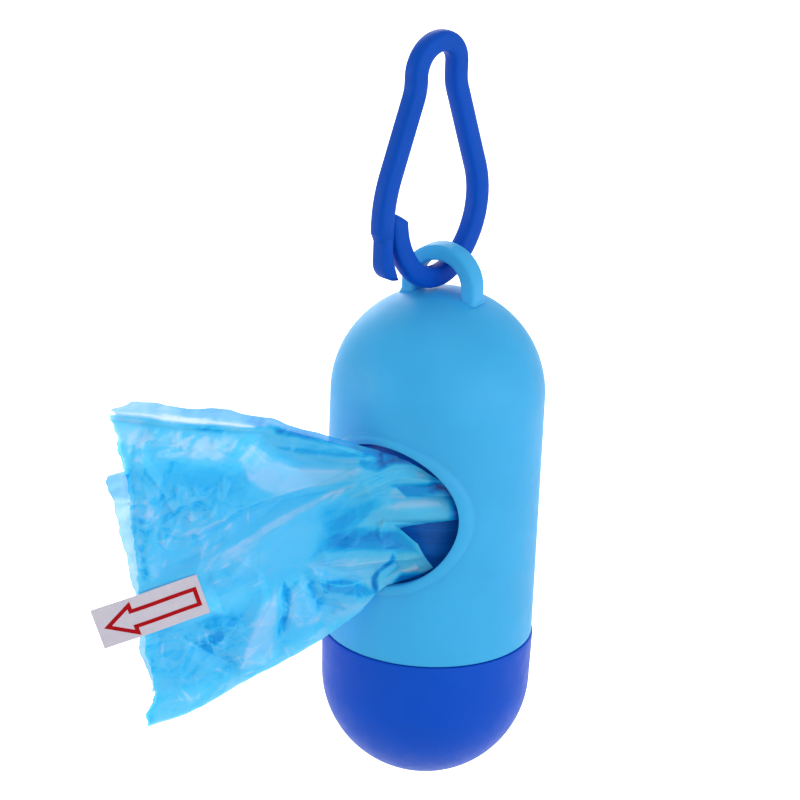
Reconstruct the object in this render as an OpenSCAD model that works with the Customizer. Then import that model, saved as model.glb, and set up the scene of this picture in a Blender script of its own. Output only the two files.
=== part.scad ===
// Capsule-shaped dispenser for a roll of dog waste bags, hanging from a moulded snap clip.
// Millimetres, +Z up. The origin is where the clip hangs: the inside of its top bend.
// The dispensing hole faces -Y, and the moulded loop on the dome lies in the XZ plane.

/* [Capsule] */
// Outside diameter of the body
body_d = 37; // [35:0.5:40]
// Height of the straight wall between the centres of the two domes
straight_h = 52.4; // [48:0.2:58]
// Wall thickness of the body and the cap
wall = 1.5; // [1.2:0.1:1.8]
// Height above the seam where the inside starts to step in to the neck
neck_step = 2.2; // [1.8:0.1:3]

/* [Cap and neck] */
// Height of the straight skirt of the cap, above its dome
skirt_h = 8.8; // [7.5:0.1:11]
// How far the rim of the cap stands out past the body
rim_step = 0.2; // [0.1:0.05:0.4]
// Height of the dark seam between the body and the cap
seam_gap = 0.15; // [0.1:0.05:0.3]
// Height of the neck that the cap screws onto
neck_h = 5; // [4.4:0.1:6]
// Wall thickness of the neck at the root of its thread
neck_wall = 1.3; // [1.1:0.1:1.5]
// Wall thickness of the cap's skirt
skirt_wall = 1.5; // [1.3:0.1:1.7]
// Pitch of the screw thread
thread_pitch = 3.2; // [3:0.1:3.6]
// Height of the thread's ridge above its root
thread_depth = 0.6; // [0.4:0.05:0.7]
// Turns of thread on the neck and in the cap
thread_turns = 1; // [0.8:0.1:1.1]
// Clearance between the thread's crests and roots
thread_clear = 0.2; // [0.15:0.05:0.3]

/* [Dispensing hole] */
// Radius of the hole
hole_r = 12.6; // [10:0.1:13]
// Distance from the centre of the top dome down to the centre of the hole
hole_drop = 16.9; // [16.5:0.1:19]
// Width of the raised rim round the hole, at its foot
rim_w = 1.35; // [0.9:0.05:1.8]
// Height of the raised rim above the body
rim_h = 0.5; // [0.3:0.1:0.8]

/* [Moulded loop] */
// Inside radius of the loop's arch
loop_r = 4.5; // [4.4:0.1:5.5]
// Thickness of the loop's band
loop_t = 2.2; // [1.8:0.1:2.6]
// Depth of the loop's band, front to back
loop_depth = 4; // [3:0.1:4.4]
// Height of the arch's centre above the top of the dome
loop_lift = 1; // [0.8:0.1:2]
// Rounding of the band's edges
loop_edge = 0.6; // [0.3:0.1:0.8]

/* [Snap clip] */
// Diameter of the clip's rod
rod_d = 3.6; // [3.2:0.1:3.8]
// Depth of the clip's rod between its front and back flats
rod_depth = 3.2; // [2.8:0.1:3.2]
// Turn of the clip's plane from the loop's plane
clip_turn = 75; // [65:1:90]
// Centreline radius of the top bend on the back's side
bend_r = 4; // [3.6:0.1:5]
// Centreline radius of the top bend on the gate's side
gate_bend_r = 5.4; // [5:0.1:6.2]
// Straight stretch below the top bend on the back's side
back_neck = 1.9; // [1:0.1:3]
// Centreline radius of the two waists
waist_r = 8; // [6:0.5:10]
// Splay of the two legs
splay = 20.4; // [17:0.2:22]
// Straight length of the back leg
back_leg = 14.75; // [13.5:0.05:16]
// Centreline radius of the back's belly
belly_r = 14.8; // [14:0.1:16]
// Turn of the belly below its widest point
belly_turn = 49; // [46:1:52]
// Centreline radius of the hook
hook_r = 7.5; // [7.2:0.1:8]
// Turn of the hook
hook_turn = 84.5; // [82:0.5:87]
// Centreline radius of the nose
nose_r = 13.15; // [12.5:0.05:14]
// Turn of the nose
nose_turn = 39.5; // [38:0.5:41]
// Straight tip of the nose
nose_tip = 1.6; // [1:0.1:2]

/* [Gate] */
// Radius of the knuckle that stands for the bending root of the gate arm
knuckle_r = 1.2; // [1:0.05:1.3]
// Radial clearance of the knuckle
knuckle_clear = 0.06; // [0.04:0.01:0.1]
// Room above the gate arm's end, for its swing
knuckle_room = 0.6; // [0.55:0.05:0.9]
// Straight length of the gate arm
gate_leg = 13.15; // [12.5:0.05:14]
// Centreline radius of the gate arm's lower bend
gate_r = 24; // [20:0.5:28]
// Clearance between the latch blade and the nose
latch_clear = 0.25; // [0.2:0.05:0.4]
// Depth that the latch's flat is cut into the inner side of the arm
latch_inset = 0.35; // [0.2:0.05:0.6]
// Length of the latch blade
blade_l = 9.5; // [8.5:0.1:9.8]
// Length of the blade's pointed tip
tip_l = 5.75; // [5:0.25:6.5]
// Thickness of the latch blade
blade_t = 2.25; // [1.8:0.05:2.4]
// Depth of the latch blade, front to back
blade_depth = 3; // [2.4:0.1:3.4]
// Reach of the blade's pointed tip past its inner face
blade_reach = 2.35; // [1.5:0.05:2.6]
// Radius of the blade's rounded heel
heel_r = 4.5; // [3.5:0.1:5]

/* [Bag roll] */
// Gap between the full roll and the bore of the neck
roll_gap = 0.6; // [0.4:0.1:2.5]
// Width of the folded bags, which is the height of the roll
roll_h = 58; // [52:0.5:60]
// Outside diameter of the core tube
core_d = 14; // [11:0.5:16]
// Wall thickness of the core tube
core_wall = 1; // [0.8:0.1:1.5]
// Air between one wound bag and the next
layer_gap = 0.05; // [0.02:0.01:0.08]
// Seat clearance under the roll and round the film
seat_clear = 0.3; // [0.2:0.05:0.5]

/* [Leading bag] */
// Thickness of the folded stack of film
film_t = 0.8; // [0.6:0.1:1]
// Heading of the film as it leaves the roll, from +X
film_heading = 218.5; // [214:0.5:224]
// Gap between the gathered film and the hole, above and below it
throat_gap = 0.9; // [0.6:0.1:3]
// Reach of the upper corner of the free end from the roll
film_top_reach = 57; // [50:0.5:62]
// Reach of the lower corner of the free end from the roll
film_low_reach = 50.5; // [46:0.5:57]
// Height of the upper corner above the centre of the hole
film_rise = 19.6; // [16:0.2:24]
// Drop of the lower corner below the centre of the hole
film_drop = 37.2; // [30:0.2:40]
// Depth of the pleats at the free end
pleat = 2.2; // [1:0.1:3]
// Pleats over the height of the free end
pleats = 2.5; // [1.5:0.25:4]

/* [Label] */
// Length of the paper label
label_l = 18.6; // [14:0.2:22]
// Width of the paper label
label_w = 7.4; // [6:0.1:9]
// Thickness of the paper label with its glue
label_t = 0.3; // [0.2:0.05:0.4]
// Distance of the label's centre from the roll, along the film
label_reach = 50.2; // [46:0.2:53]
// Drop of the label's centre below the centre of the hole
label_drop = 14.8; // [12:0.2:20]
// Slope of the label, falling towards the free end
label_slope = 18.8; // [10:0.2:25]

/* [Hidden] */
$fn = 128;

sky_blue = [0.29, 0.68, 0.92];
royal_blue = [0.12, 0.33, 0.76];
clip_blue = [0.10, 0.31, 0.72];
film_blue = [0.35, 0.76, 0.98];
kraft = [0.72, 0.60, 0.44];
paper_white = [0.88, 0.86, 0.90];

// A small overlap that joins solids of one piece
weld = 0.3;

// Capsule, measured from the centre of its top dome
body_r = body_d / 2;
inner_r = body_r - wall;
cap_dome_z = -straight_h;
seam_z = cap_dome_z + skirt_h;
hole_z = -hole_drop;
skirt_inner_r = body_r + rim_step - skirt_wall;
crest_r = skirt_inner_r - thread_clear;
neck_r = crest_r - thread_depth;
neck_inner_r = neck_r - neck_wall;
neck_end_z = seam_z - neck_h;
neck_taper = inner_r - neck_inner_r;

// Thread, interrupted lugs of trapezoid section
lugs_per_turn = 12;
lug_angle = 26;
lug_root_w = 0.45 * thread_pitch;
lug_crest_w = 0.25 * thread_pitch;
lug_low_z = neck_end_z + 0.35 * thread_pitch;

// Concentric steps that the raised rim is built of
rim_steps = 3;

// Loop on the dome
loop_mid_r = loop_r + loop_t / 2;
loop_outer_r = loop_r + loop_t;
loop_z = body_r + loop_lift;
loop_foot_z = sqrt(body_r * body_r - loop_outer_r * loop_outer_r - loop_depth * loop_depth / 4) - weld;

// Clip, in its own plane: X across, Y up, the origin at the inside of the top bend
apex = [0, rod_d / 2, 0];
bend_to_gate = [[gate_bend_r, -90], [knuckle_room / 2, 0]];
back_run = [[bend_r, 90], [back_neck, 0], [waist_r, -splay], [back_leg, 0],
    [belly_r, splay + belly_turn], [hook_r, hook_turn], [nose_r, nose_turn], [nose_tip, 0]];
hinge_at = [-gate_bend_r, apex[1] - gate_bend_r - knuckle_room / 2];
gate_start_y = hinge_at[1] - knuckle_room;
gate_run = [[waist_r, splay], [gate_leg, 0], [gate_r, -splay]];
gate_end = walk(gate_run, [hinge_at[0], gate_start_y, 180]);
nose_end = walk(back_run, [apex[0], apex[1], 90]);
hook_start = walk([for (i = [0:4]) back_run[i]], [apex[0], apex[1], 90]);
hook_centre = [hook_start[0] + hook_r * cos(hook_start[2]), hook_start[1] - hook_r * sin(hook_start[2])];
hook_low = [hook_centre[0], hook_centre[1] - hook_r];
latch_x = gate_end[0] + rod_d / 2 - latch_inset;
latch_room = 1;
latch_top_y = nose_end[1] + latch_room;
latch_cut = 4;
bead_proud = 0.02;
bead_gap = 0.05;
clip_box = 100;

// Place of the capsule: the hook's lowest point lies inside the loop, just clear of the dome
loop_off = [1.6, 0.57];
dome_clear = 0.38;
dome_under_hook = sqrt(body_r * body_r - loop_off[0] * loop_off[0] - loop_off[1] * loop_off[1]);
capsule_at = [hook_low[0] * cos(clip_turn) + loop_off[0],
    hook_low[0] * sin(clip_turn) + loop_off[1],
    hook_low[1] - rod_d / 2 - dome_clear - dome_under_hook];

// Roll, standing on the inside of the cap's dome
roll_r = neck_inner_r - roll_gap;
core_r = core_d / 2;
roll_z = cap_dome_z - sqrt(inner_r * inner_r - roll_r * roll_r) + seat_clear;
// Bags on a full roll, which NODES names one by one
bag_count = 15;
wound_bags = bag_count - 1;

// Film: its sheet is tangent to the roll, and its outline is given from the tangent point
film_off = roll_r + seat_clear + film_t / 2;
hole_out_t = sqrt(pow(body_r + rim_h, 2) - film_off * film_off);
film_rows = 16;
film_cols = 20;
throat_h = 2 * (hole_r - throat_gap);
label_row = (film_drop - label_drop) / (film_drop + film_rise);
label_free_t = film_low_reach + (film_top_reach - film_low_reach) * label_row;
label_pitch = atan(pleat / (label_free_t - hole_out_t));

// Follows moves of [length or radius, turn], a turn to the right being positive, and gives the
// place and the heading, clockwise from up, at their end
function walk(moves, pose, i = 0) =
    i == len(moves) ? pose : walk(moves, step(moves[i], pose), i + 1);
function step(move, pose) =
    move[1] == 0
        ? [pose[0] + move[0] * sin(pose[2]), pose[1] + move[0] * cos(pose[2]), pose[2]]
        : let (side = sign(move[1]), end = pose[2] + move[1])
            [pose[0] + side * move[0] * (cos(pose[2]) - cos(end)),
             pose[1] + side * move[0] * (sin(end) - sin(pose[2])), end];

// Outer radius of a wound bag: each bag takes the same share of the roll's end face
function bag_r(number) =
    sqrt(core_r * core_r
        + (bag_count + 1 - number) / wound_bags * (roll_r * roll_r - core_r * core_r));

module in_capsule() {
    translate(capsule_at) children();
}

module in_clip_plane() {
    rotate([90, 0, clip_turn]) children();
}

// The film's plane: its tangent point on the roll is the local origin, the film runs towards
// the local -X, Y is up and Z points away from the roll
module along_film() {
    rotate([0, 0, film_heading + 90]) translate([film_off, 0, 0]) rotate([90, 0, 90]) children();
}

// A quarter of a circle, the outline of a dome that points up (side 1) or down (side -1)
module dome(r, side) {
    intersection() {
        circle(r);
        translate([0, side < 0 ? -r : 0]) square(r);
    }
}

module housing_profile() {
    difference() {
        union() {
            dome(body_r, 1);
            translate([0, seam_z]) square([body_r, -seam_z]);
            translate([0, neck_end_z]) square([neck_r, neck_h + weld]);
        }
        dome(inner_r, 1);
        neck_top_z = seam_z + neck_step;
        translate([0, neck_top_z]) square([inner_r, -neck_top_z]);
        polygon([[0, neck_top_z - neck_taper], [neck_inner_r, neck_top_z - neck_taper],
            [inner_r, neck_top_z], [0, neck_top_z]]);
        translate([0, neck_end_z - weld]) square([neck_inner_r, neck_top_z - neck_end_z]);
    }
}

// An interrupted thread: short lugs that climb to the right, each standing out from root_r to tip_r
module thread_lugs(root_r, tip_r, low_z) {
    base_r = root_r - sign(tip_r - root_r) * weld;
    for (i = [0:round(lugs_per_turn * thread_turns) - 1]) {
        translate([0, 0, low_z + thread_pitch * i / lugs_per_turn]) {
            rotate([0, 0, 360 * i / lugs_per_turn]) rotate_extrude(angle = lug_angle) {
                polygon([[base_r, -lug_root_w / 2], [tip_r, -lug_crest_w / 2],
                    [tip_r, lug_crest_w / 2], [base_r, lug_root_w / 2]]);
            }
        }
    }
}

module loop_section() {
    for (flip = [0, 1]) {
        square([loop_t - 2 * loop_edge * flip, loop_depth - 2 * loop_edge * (1 - flip)], center = true);
    }
    for (x = [-1, 1], y = [-1, 1]) {
        translate([x * (loop_t / 2 - loop_edge), y * (loop_depth / 2 - loop_edge)]) circle(loop_edge);
    }
}

module moulded_loop() {
    translate([0, 0, loop_z]) rotate([90, 0, 0]) rotate_extrude(angle = 180) {
        translate([loop_mid_r, 0]) loop_section();
    }
    for (side = [-1, 1]) {
        translate([side * loop_mid_r, 0, loop_foot_z]) {
            linear_extrude(loop_z - loop_foot_z) loop_section();
        }
    }
}

// The raised rim steps up towards the hole and follows the curve of the body
module hole_rim() {
    for (k = [1:rim_steps]) {
        share = k / rim_steps;
        intersection() {
            translate([0, 0, hole_z]) rotate([90, 0, 0]) {
                cylinder(h = body_d, r = hole_r + rim_w * (1 + 1 / rim_steps - share));
            }
            translate([0, 0, hole_z - hole_r - rim_w * 2]) {
                cylinder(h = 2 * hole_r + rim_w * 4, r = body_r + rim_h * share);
            }
        }
    }
}

module housing() {
    color(sky_blue) in_capsule() {
        difference() {
            union() {
                rotate_extrude() housing_profile();
                difference() {
                    hole_rim();
                    translate([0, 0, hole_z - body_r]) cylinder(h = body_d, r = body_r - weld);
                }
                moulded_loop();
                thread_lugs(neck_r, crest_r, lug_low_z);
            }
            translate([0, 0, hole_z]) rotate([90, 0, 0]) cylinder(h = body_r + 2 * rim_h, r = hole_r);
        }
    }
}

module screw_cap() {
    rim_z = seam_z - seam_gap;
    color(royal_blue) in_capsule() {
        rotate_extrude() {
            difference() {
                union() {
                    translate([0, cap_dome_z]) dome(body_r, -1);
                    polygon([[0, cap_dome_z], [body_r, cap_dome_z], [body_r + rim_step, rim_z], [0, rim_z]]);
                }
                translate([0, cap_dome_z]) dome(inner_r, -1);
                translate([0, cap_dome_z]) square([skirt_inner_r, skirt_h]);
            }
        }
        thread_lugs(skirt_inner_r, neck_r + thread_clear, lug_low_z - thread_pitch / 2);
    }
}

// Draws a round rod along the moves, starting at the local origin and heading up the local Y.
// A bead of the rod's own size joins each stretch to the next.
module rod_run(moves, i = 0) {
    if (i < len(moves)) {
        size = moves[i][0];
        turn = moves[i][1];
        if (i > 0) {
            sphere(r = rod_d / 2 + bead_proud);
        }
        if (turn == 0) {
            rotate([-90, 0, 0]) translate([0, 0, bead_gap]) linear_extrude(size - bead_gap) {
                circle(d = rod_d);
            }
            translate([0, size, 0]) rod_run(moves, i + 1);
        } else {
            side = sign(turn);
            skip = bead_gap / size * 180 / PI;
            start = turn > 0 ? 180 - turn : skip;
            translate([side * size, 0, 0]) {
                rotate([0, 0, start]) rotate_extrude(angle = abs(turn) - skip) {
                    translate([size, 0]) circle(d = rod_d);
                }
                rotate([0, 0, -turn]) translate([-side * size, 0, 0]) rod_run(moves, i + 1);
            }
        }
    }
}

// Cuts the rod's front and back faces flat
module flats() {
    for (side = [-1, 1]) {
        translate([0, -clip_box / 4, side * (rod_depth + clip_box) / 2]) cube(clip_box, center = true);
    }
}

module clip_frame() {
    color(clip_blue) in_clip_plane() {
        difference() {
            union() {
                translate(apex) rotate([0, 0, -90]) rod_run(back_run);
                translate(apex) rotate([0, 0, 90]) rod_run(bend_to_gate);
                translate(apex) sphere(r = rod_d / 2 + bead_proud);
            }
            flats();
            translate([hinge_at[0], hinge_at[1], -rod_d]) {
                cylinder(h = 2 * rod_d, r = knuckle_r + knuckle_clear);
                translate([-rod_d, -rod_d, 0]) cube([2 * rod_d, rod_d, 2 * rod_d]);
            }
            translate([latch_x - latch_cut + latch_clear, hook_low[1], -rod_d]) {
                cube([latch_cut, latch_top_y - hook_low[1], 2 * rod_d]);
            }
        }
    }
}

// The thinner end of the gate arm, beside the nose, with a rounded heel and a tip that curves in
module latch_blade() {
    face = latch_x - gate_end[0];
    heel_x = face - blade_t;
    foot_w = blade_t + blade_reach;
    heel = min(heel_r, foot_w - weld);
    linear_extrude(blade_depth, center = true) {
        difference() {
            union() {
                translate([heel_x, heel - blade_l]) square([foot_w, blade_l - heel + weld]);
                translate([heel_x + heel, -blade_l]) square([foot_w - heel, heel + weld]);
                intersection() {
                    translate([heel_x + heel, heel - blade_l]) circle(heel);
                    translate([heel_x, -blade_l]) square(heel + weld);
                }
            }
            polygon([[face, 2 * weld], [face, tip_l - blade_l], [face + blade_reach, -blade_l],
                [face + 2 * blade_reach, -blade_l], [face + 2 * blade_reach, 2 * weld]]);
        }
    }
}

module clip_gate() {
    color(clip_blue) in_clip_plane() {
        translate([hinge_at[0], hinge_at[1], 0]) {
            cylinder(h = rod_depth, r = knuckle_r, center = true);
            translate([-knuckle_r / 2, -knuckle_room - knuckle_r / 2, -rod_depth / 2]) {
                cube([knuckle_r, knuckle_room + knuckle_r / 2, rod_depth]);
            }
        }
        difference() {
            translate([hinge_at[0], gate_start_y, 0]) rotate([0, 0, 180]) rod_run(gate_run);
            flats();
            translate([latch_x, gate_end[1] - weld, -rod_d]) {
                cube([latch_cut, latch_top_y - gate_end[1] + weld, 2 * rod_d]);
            }
        }
        translate([gate_end[0], gate_end[1], 0]) latch_blade();
    }
}

module core_tube() {
    color(kraft) in_capsule() translate([0, 0, roll_z]) {
        difference() {
            cylinder(h = roll_h, r = core_r);
            translate([0, 0, -weld]) cylinder(h = roll_h + 2 * weld, r = core_r - core_wall);
        }
    }
}

module wound_bag(number) {
    color(film_blue) in_capsule() translate([0, 0, roll_z]) {
        difference() {
            cylinder(h = roll_h, r = bag_r(number));
            translate([0, 0, -weld]) cylinder(h = roll_h + 2 * weld, r = bag_r(number + 1) + layer_gap);
        }
    }
}

// A point of the film's sheet: u runs from the roll to the free end and v from the lower edge up.
// It gives the place in the film's plane, with Z the distance out of it.
function film_point(u, v, side) =
    let (throat_u = 0.25,
        inner = min(1, u / throat_u),
        outer = max(0, (u - throat_u) / (1 - throat_u)),
        free_t = film_low_reach + (film_top_reach - film_low_reach) * v,
        throat_y = throat_h * (v - 0.5),
        free_y = (film_drop + film_rise) * v - film_drop,
        t = hole_out_t * inner + (free_t - hole_out_t) * outer,
        y = throat_y + (free_y - throat_y) * outer,
        fold = pleat * outer * cos(360 * pleats * (v - label_row)))
    [-t, y, fold + side * film_t / 2];

module bag_01_leading() {
    grid = [for (side = [-1, 1]) for (i = [0:film_cols]) for (j = [0:film_rows])
        film_point(i / film_cols, j / film_rows, side)];
    half = (film_cols + 1) * (film_rows + 1);
    function at(side, i, j) = side * half + i * (film_rows + 1) + j;
    front = [for (i = [0:film_cols - 1]) for (j = [0:film_rows - 1])
        for (face = [[at(1, i, j), at(1, i + 1, j), at(1, i + 1, j + 1)],
                [at(1, i, j), at(1, i + 1, j + 1), at(1, i, j + 1)]]) face];
    back = [for (face = front) [face[0] - half, face[2] - half, face[1] - half]];
    loop = concat([for (i = [0:film_cols - 1]) [i, 0]], [for (j = [0:film_rows - 1]) [film_cols, j]],
        [for (i = [film_cols:-1:1]) [i, film_rows]], [for (j = [film_rows:-1:1]) [0, j]]);
    rim = [for (k = [0:len(loop) - 1])
        let (p = loop[k], q = loop[(k + 1) % len(loop)])
        for (face = [[at(1, p[0], p[1]), at(0, q[0], q[1]), at(1, q[0], q[1])],
                [at(1, p[0], p[1]), at(0, p[0], p[1]), at(0, q[0], q[1])]]) face];
    color(film_blue) in_capsule() translate([0, 0, hole_z]) along_film() {
        polyhedron(grid, concat(front, back, rim), convexity = 6);
    }
}

// The label lies on the crest of a pleat, which climbs towards the free end
module pull_label() {
    color(paper_white) in_capsule() translate([0, 0, hole_z]) along_film() {
        translate([-hole_out_t, -label_drop, film_t / 2]) rotate([0, label_pitch, 0]) {
            translate([hole_out_t - label_reach, 0, 0]) rotate([0, 0, label_slope]) {
                translate([-label_l / 2, -label_w / 2, 0]) cube([label_l, label_w, label_t]);
            }
        }
    }
}

housing();
screw_cap();
clip_frame();
clip_gate();
core_tube();
bag_01_leading();
pull_label();
wound_bag(2);  // bag_02
wound_bag(3);  // bag_03
wound_bag(4);  // bag_04
wound_bag(5);  // bag_05
wound_bag(6);  // bag_06
wound_bag(7);  // bag_07
wound_bag(8);  // bag_08
wound_bag(9);  // bag_09
wound_bag(10);  // bag_10
wound_bag(11);  // bag_11
wound_bag(12);  // bag_12
wound_bag(13);  // bag_13
wound_bag(14);  // bag_14
wound_bag(15);  // bag_15
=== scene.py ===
"""Dog waste bag dispenser: a blue capsule on a snap clip, with a bag fanning out of its side."""

import math

import bmesh
import bpy
import numpy as np
from mathutils import Matrix, Vector


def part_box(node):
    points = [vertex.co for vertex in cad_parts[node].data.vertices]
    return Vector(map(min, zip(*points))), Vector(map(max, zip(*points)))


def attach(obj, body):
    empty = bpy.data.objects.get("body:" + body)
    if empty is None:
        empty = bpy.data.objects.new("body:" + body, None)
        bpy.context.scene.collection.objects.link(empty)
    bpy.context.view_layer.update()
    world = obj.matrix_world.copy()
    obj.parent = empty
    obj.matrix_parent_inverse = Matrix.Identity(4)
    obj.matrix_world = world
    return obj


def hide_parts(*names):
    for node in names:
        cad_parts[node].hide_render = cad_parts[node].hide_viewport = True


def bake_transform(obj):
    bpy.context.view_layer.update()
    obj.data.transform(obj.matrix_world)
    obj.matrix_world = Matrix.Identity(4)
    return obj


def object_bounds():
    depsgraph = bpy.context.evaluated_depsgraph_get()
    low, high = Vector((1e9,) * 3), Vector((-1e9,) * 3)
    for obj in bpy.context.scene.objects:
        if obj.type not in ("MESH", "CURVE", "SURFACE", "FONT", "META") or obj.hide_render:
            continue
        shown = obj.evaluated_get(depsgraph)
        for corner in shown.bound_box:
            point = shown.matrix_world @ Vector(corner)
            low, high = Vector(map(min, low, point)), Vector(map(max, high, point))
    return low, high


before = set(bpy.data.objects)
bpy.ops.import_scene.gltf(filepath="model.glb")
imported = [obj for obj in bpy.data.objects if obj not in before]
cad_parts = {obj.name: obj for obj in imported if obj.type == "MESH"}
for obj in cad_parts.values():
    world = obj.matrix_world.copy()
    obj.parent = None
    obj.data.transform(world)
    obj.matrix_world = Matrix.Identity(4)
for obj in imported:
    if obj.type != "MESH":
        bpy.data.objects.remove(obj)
cad_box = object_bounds()

MM = 0.001
WELD = 0.002 * MM

# Real sizes in millimetres, as the solids have them. Only the loop's band is thicker here, as the
# photograph shows it
BODY_R = 18.5
STRAIGHT_H = 52.4
WALL = 1.5
SEAM_Z = -43.6
SEAM_GAP = 0.15
NECK_END_Z = -48.6
NECK_STEP = 2.2
NECK_R = 16.4
NECK_BORE_R = 15.1
SKIRT_BORE_R = 17.2
THREAD_PITCH = 3.2
THREAD_DEPTH = 0.65
THREAD_ROOT_W = 1.44
THREAD_CREST_W = 0.8
THREAD_START_Z = NECK_END_Z + 1.12
RIM_STEP = 0.2
HOLE_R = 12.6
HOLE_Z = -16.9
RIM_W = 1.35
RIM_H = 0.5
LINING = 0.35
MOULD_EDGE = 0.25
LOOP_MID_R = 5.75
LOOP_T = 2.7
LOOP_DEPTH = 4.0
LOOP_Z = 19.5
LOOP_FOOT_Z = 17.1
ROD_R = 1.8
ROD_HALF_DEPTH = 1.6
CLIP_TURN = 75
GATE_ROOT = (-5.4, -3.9)
GATE_ROOT_H = 0.6
ROLL_R = 14.5
CORE_R = 7.0
ROLL_Z = -60.974
ROLL_H = 58.0
BAGS = 15
FILM_T = 0.09
FILM_HEADING = 218.5
FILM_OFF = 15.2

# The centre of the top dome, found from the cap's solid
cap_low, cap_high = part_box("screw_cap")
DOME = (cap_low + cap_high) / 2
DOME.z = cap_low.z + (STRAIGHT_H + BODY_R) * MM


# --- Shaping helpers


def linked(name, data):
    """A new object in the scene."""
    piece = bpy.data.objects.new(name, data)
    bpy.context.scene.collection.objects.link(piece)
    return piece


def piece_from(name, points, faces, material, origin=(0, 0, 0)):
    """A mesh object from points in millimetres about origin, which is in metres."""
    mesh = bpy.data.meshes.new(name)
    placed = np.asarray(points, float) * MM + np.array(origin)
    mesh.from_pydata(placed.tolist(), [], faces)
    mesh.materials.append(material)
    mesh.update()
    return linked(name, mesh)


def smooth(piece, angle=35):
    piece.data.shade_smooth()
    if angle < 180:
        piece.data.set_sharp_from_angle(angle=math.radians(angle))


def close_and_smooth(piece, angle=35):
    """Merges doubles, turns every face outwards and shades smooth up to the given angle."""
    bm = bmesh.new()
    bm.from_mesh(piece.data)
    bmesh.ops.remove_doubles(bm, verts=bm.verts, dist=WELD)
    bmesh.ops.recalc_face_normals(bm, faces=bm.faces)
    bm.to_mesh(piece.data)
    bm.free()
    smooth(piece, angle)
    return piece


def grid_faces(rows, cols, wrap_rows=False, wrap_cols=False):
    """Quads over a grid of points that is stored row by row."""
    faces = []
    for i in range(rows if wrap_rows else rows - 1):
        for j in range(cols if wrap_cols else cols - 1):
            a, b = i * cols + j, i * cols + (j + 1) % cols
            c, d = ((i + 1) % rows) * cols + (j + 1) % cols, ((i + 1) % rows) * cols + j
            faces.append((a, b, c, d))
    return faces


def spun(name, profile, material, steps=256):
    """A closed outline of (radius, height) turned about the capsule's axis."""
    outline = np.asarray(profile, float)
    turn = np.linspace(0, 2 * math.pi, steps, endpoint=False)
    across, along = (np.outer(way, outline[:, 0]) for way in (np.cos(turn), np.sin(turn)))
    points = np.stack([across, along, np.tile(outline[:, 1], (steps, 1))], -1).reshape(-1, 3)
    faces = grid_faces(steps, len(outline), wrap_rows=True, wrap_cols=True)
    return close_and_smooth(piece_from(name, points, faces, material, DOME))


def arc(centre, radius, start, end, steps):
    """Points of an arc, with its angles in degrees."""
    turn = np.radians(np.linspace(start, end, steps + 1))
    return [(centre[0] + radius * math.cos(a), centre[1] + radius * math.sin(a)) for a in turn]


def along_z(r0, z0, r1, z1, steps):
    """Points of a straight stretch of an outline, without its last one."""
    return [(r0 + (r1 - r0) * k / steps, z0 + (z1 - z0) * k / steps) for k in range(steps)]


def swept(name, rings, material, origin=(0, 0, 0), angle=40):
    """A tube through rings of points, closed at both ends with a fan."""
    rings = np.asarray(rings, float)
    count, around = rings.shape[:2]
    faces = grid_faces(count, around, wrap_cols=True)
    points = rings.reshape(-1, 3).tolist()
    for ring in (0, count - 1):
        middle = len(points)
        points.append(rings[ring].mean(0).tolist())
        for j in range(around):
            faces.append((ring * around + j, ring * around + (j + 1) % around, middle))
    return close_and_smooth(piece_from(name, points, faces, material, origin), angle)


def joined(name, pieces):
    """One object from several, under the name of the whole."""
    bm = bmesh.new()
    for piece in pieces:
        bm.from_mesh(piece.data)
    mesh = bpy.data.meshes.new(name)
    bm.to_mesh(mesh)
    bm.free()
    for material in pieces[0].data.materials:
        mesh.materials.append(material)
    for piece in pieces:
        bpy.data.objects.remove(piece)
    whole = linked(name, mesh)
    smooth(whole)
    return whole


def baked_modifiers(piece):
    """The same object with its modifiers made part of its mesh."""
    bpy.context.view_layer.update()
    shown = piece.evaluated_get(bpy.context.evaluated_depsgraph_get())
    mesh = bpy.data.meshes.new_from_object(shown)
    piece.modifiers.clear()
    piece.data = mesh
    return piece


# --- Node helpers


def add_node(tree, kind, inputs=None, **settings):
    """A new node. Each input, by name or number, is a value or another node's socket."""
    node = tree.nodes.new(kind)
    for label, value in settings.items():
        setattr(node, label, value)
    for label, value in (inputs or {}).items():
        if isinstance(value, bpy.types.NodeSocket):
            tree.links.new(value, node.inputs[label])
        else:
            node.inputs[label].default_value = value
    return node


def new_tree(name, sizes):
    """A Geometry Nodes tree with an input for each size and for the finish, and those inputs."""
    tree = bpy.data.node_groups.new(name, "GeometryNodeTree")
    sockets = [("Geometry", "OUTPUT", "Geometry")]
    sockets += [(size, "INPUT", "Float") for size in sizes]
    for label, way, kind in sockets + [("Finish", "INPUT", "Material")]:
        tree.interface.new_socket(label, in_out=way, socket_type=f"NodeSocket{kind}")
    return tree, add_node(tree, "NodeGroupInput").outputs


def swept_in_tree(tree, curve, section):
    """The section swept along the curve, upright and closed at its ends."""
    inputs = {"Curve": curve, "Profile Curve": section, "Fill Caps": True}
    return add_node(tree, "GeometryNodeCurveToMesh", inputs).outputs["Mesh"]


def end_tree(tree, shape, finish):
    """Makes the tree's instances real and gives them their finish."""
    real = add_node(tree, "GeometryNodeRealizeInstances", {"Geometry": shape}).outputs[0]
    inputs = {"Geometry": real, "Material": finish}
    painted = add_node(tree, "GeometryNodeSetMaterial", inputs).outputs["Geometry"]
    add_node(tree, "NodeGroupOutput", {"Geometry": painted})
    return tree


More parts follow.
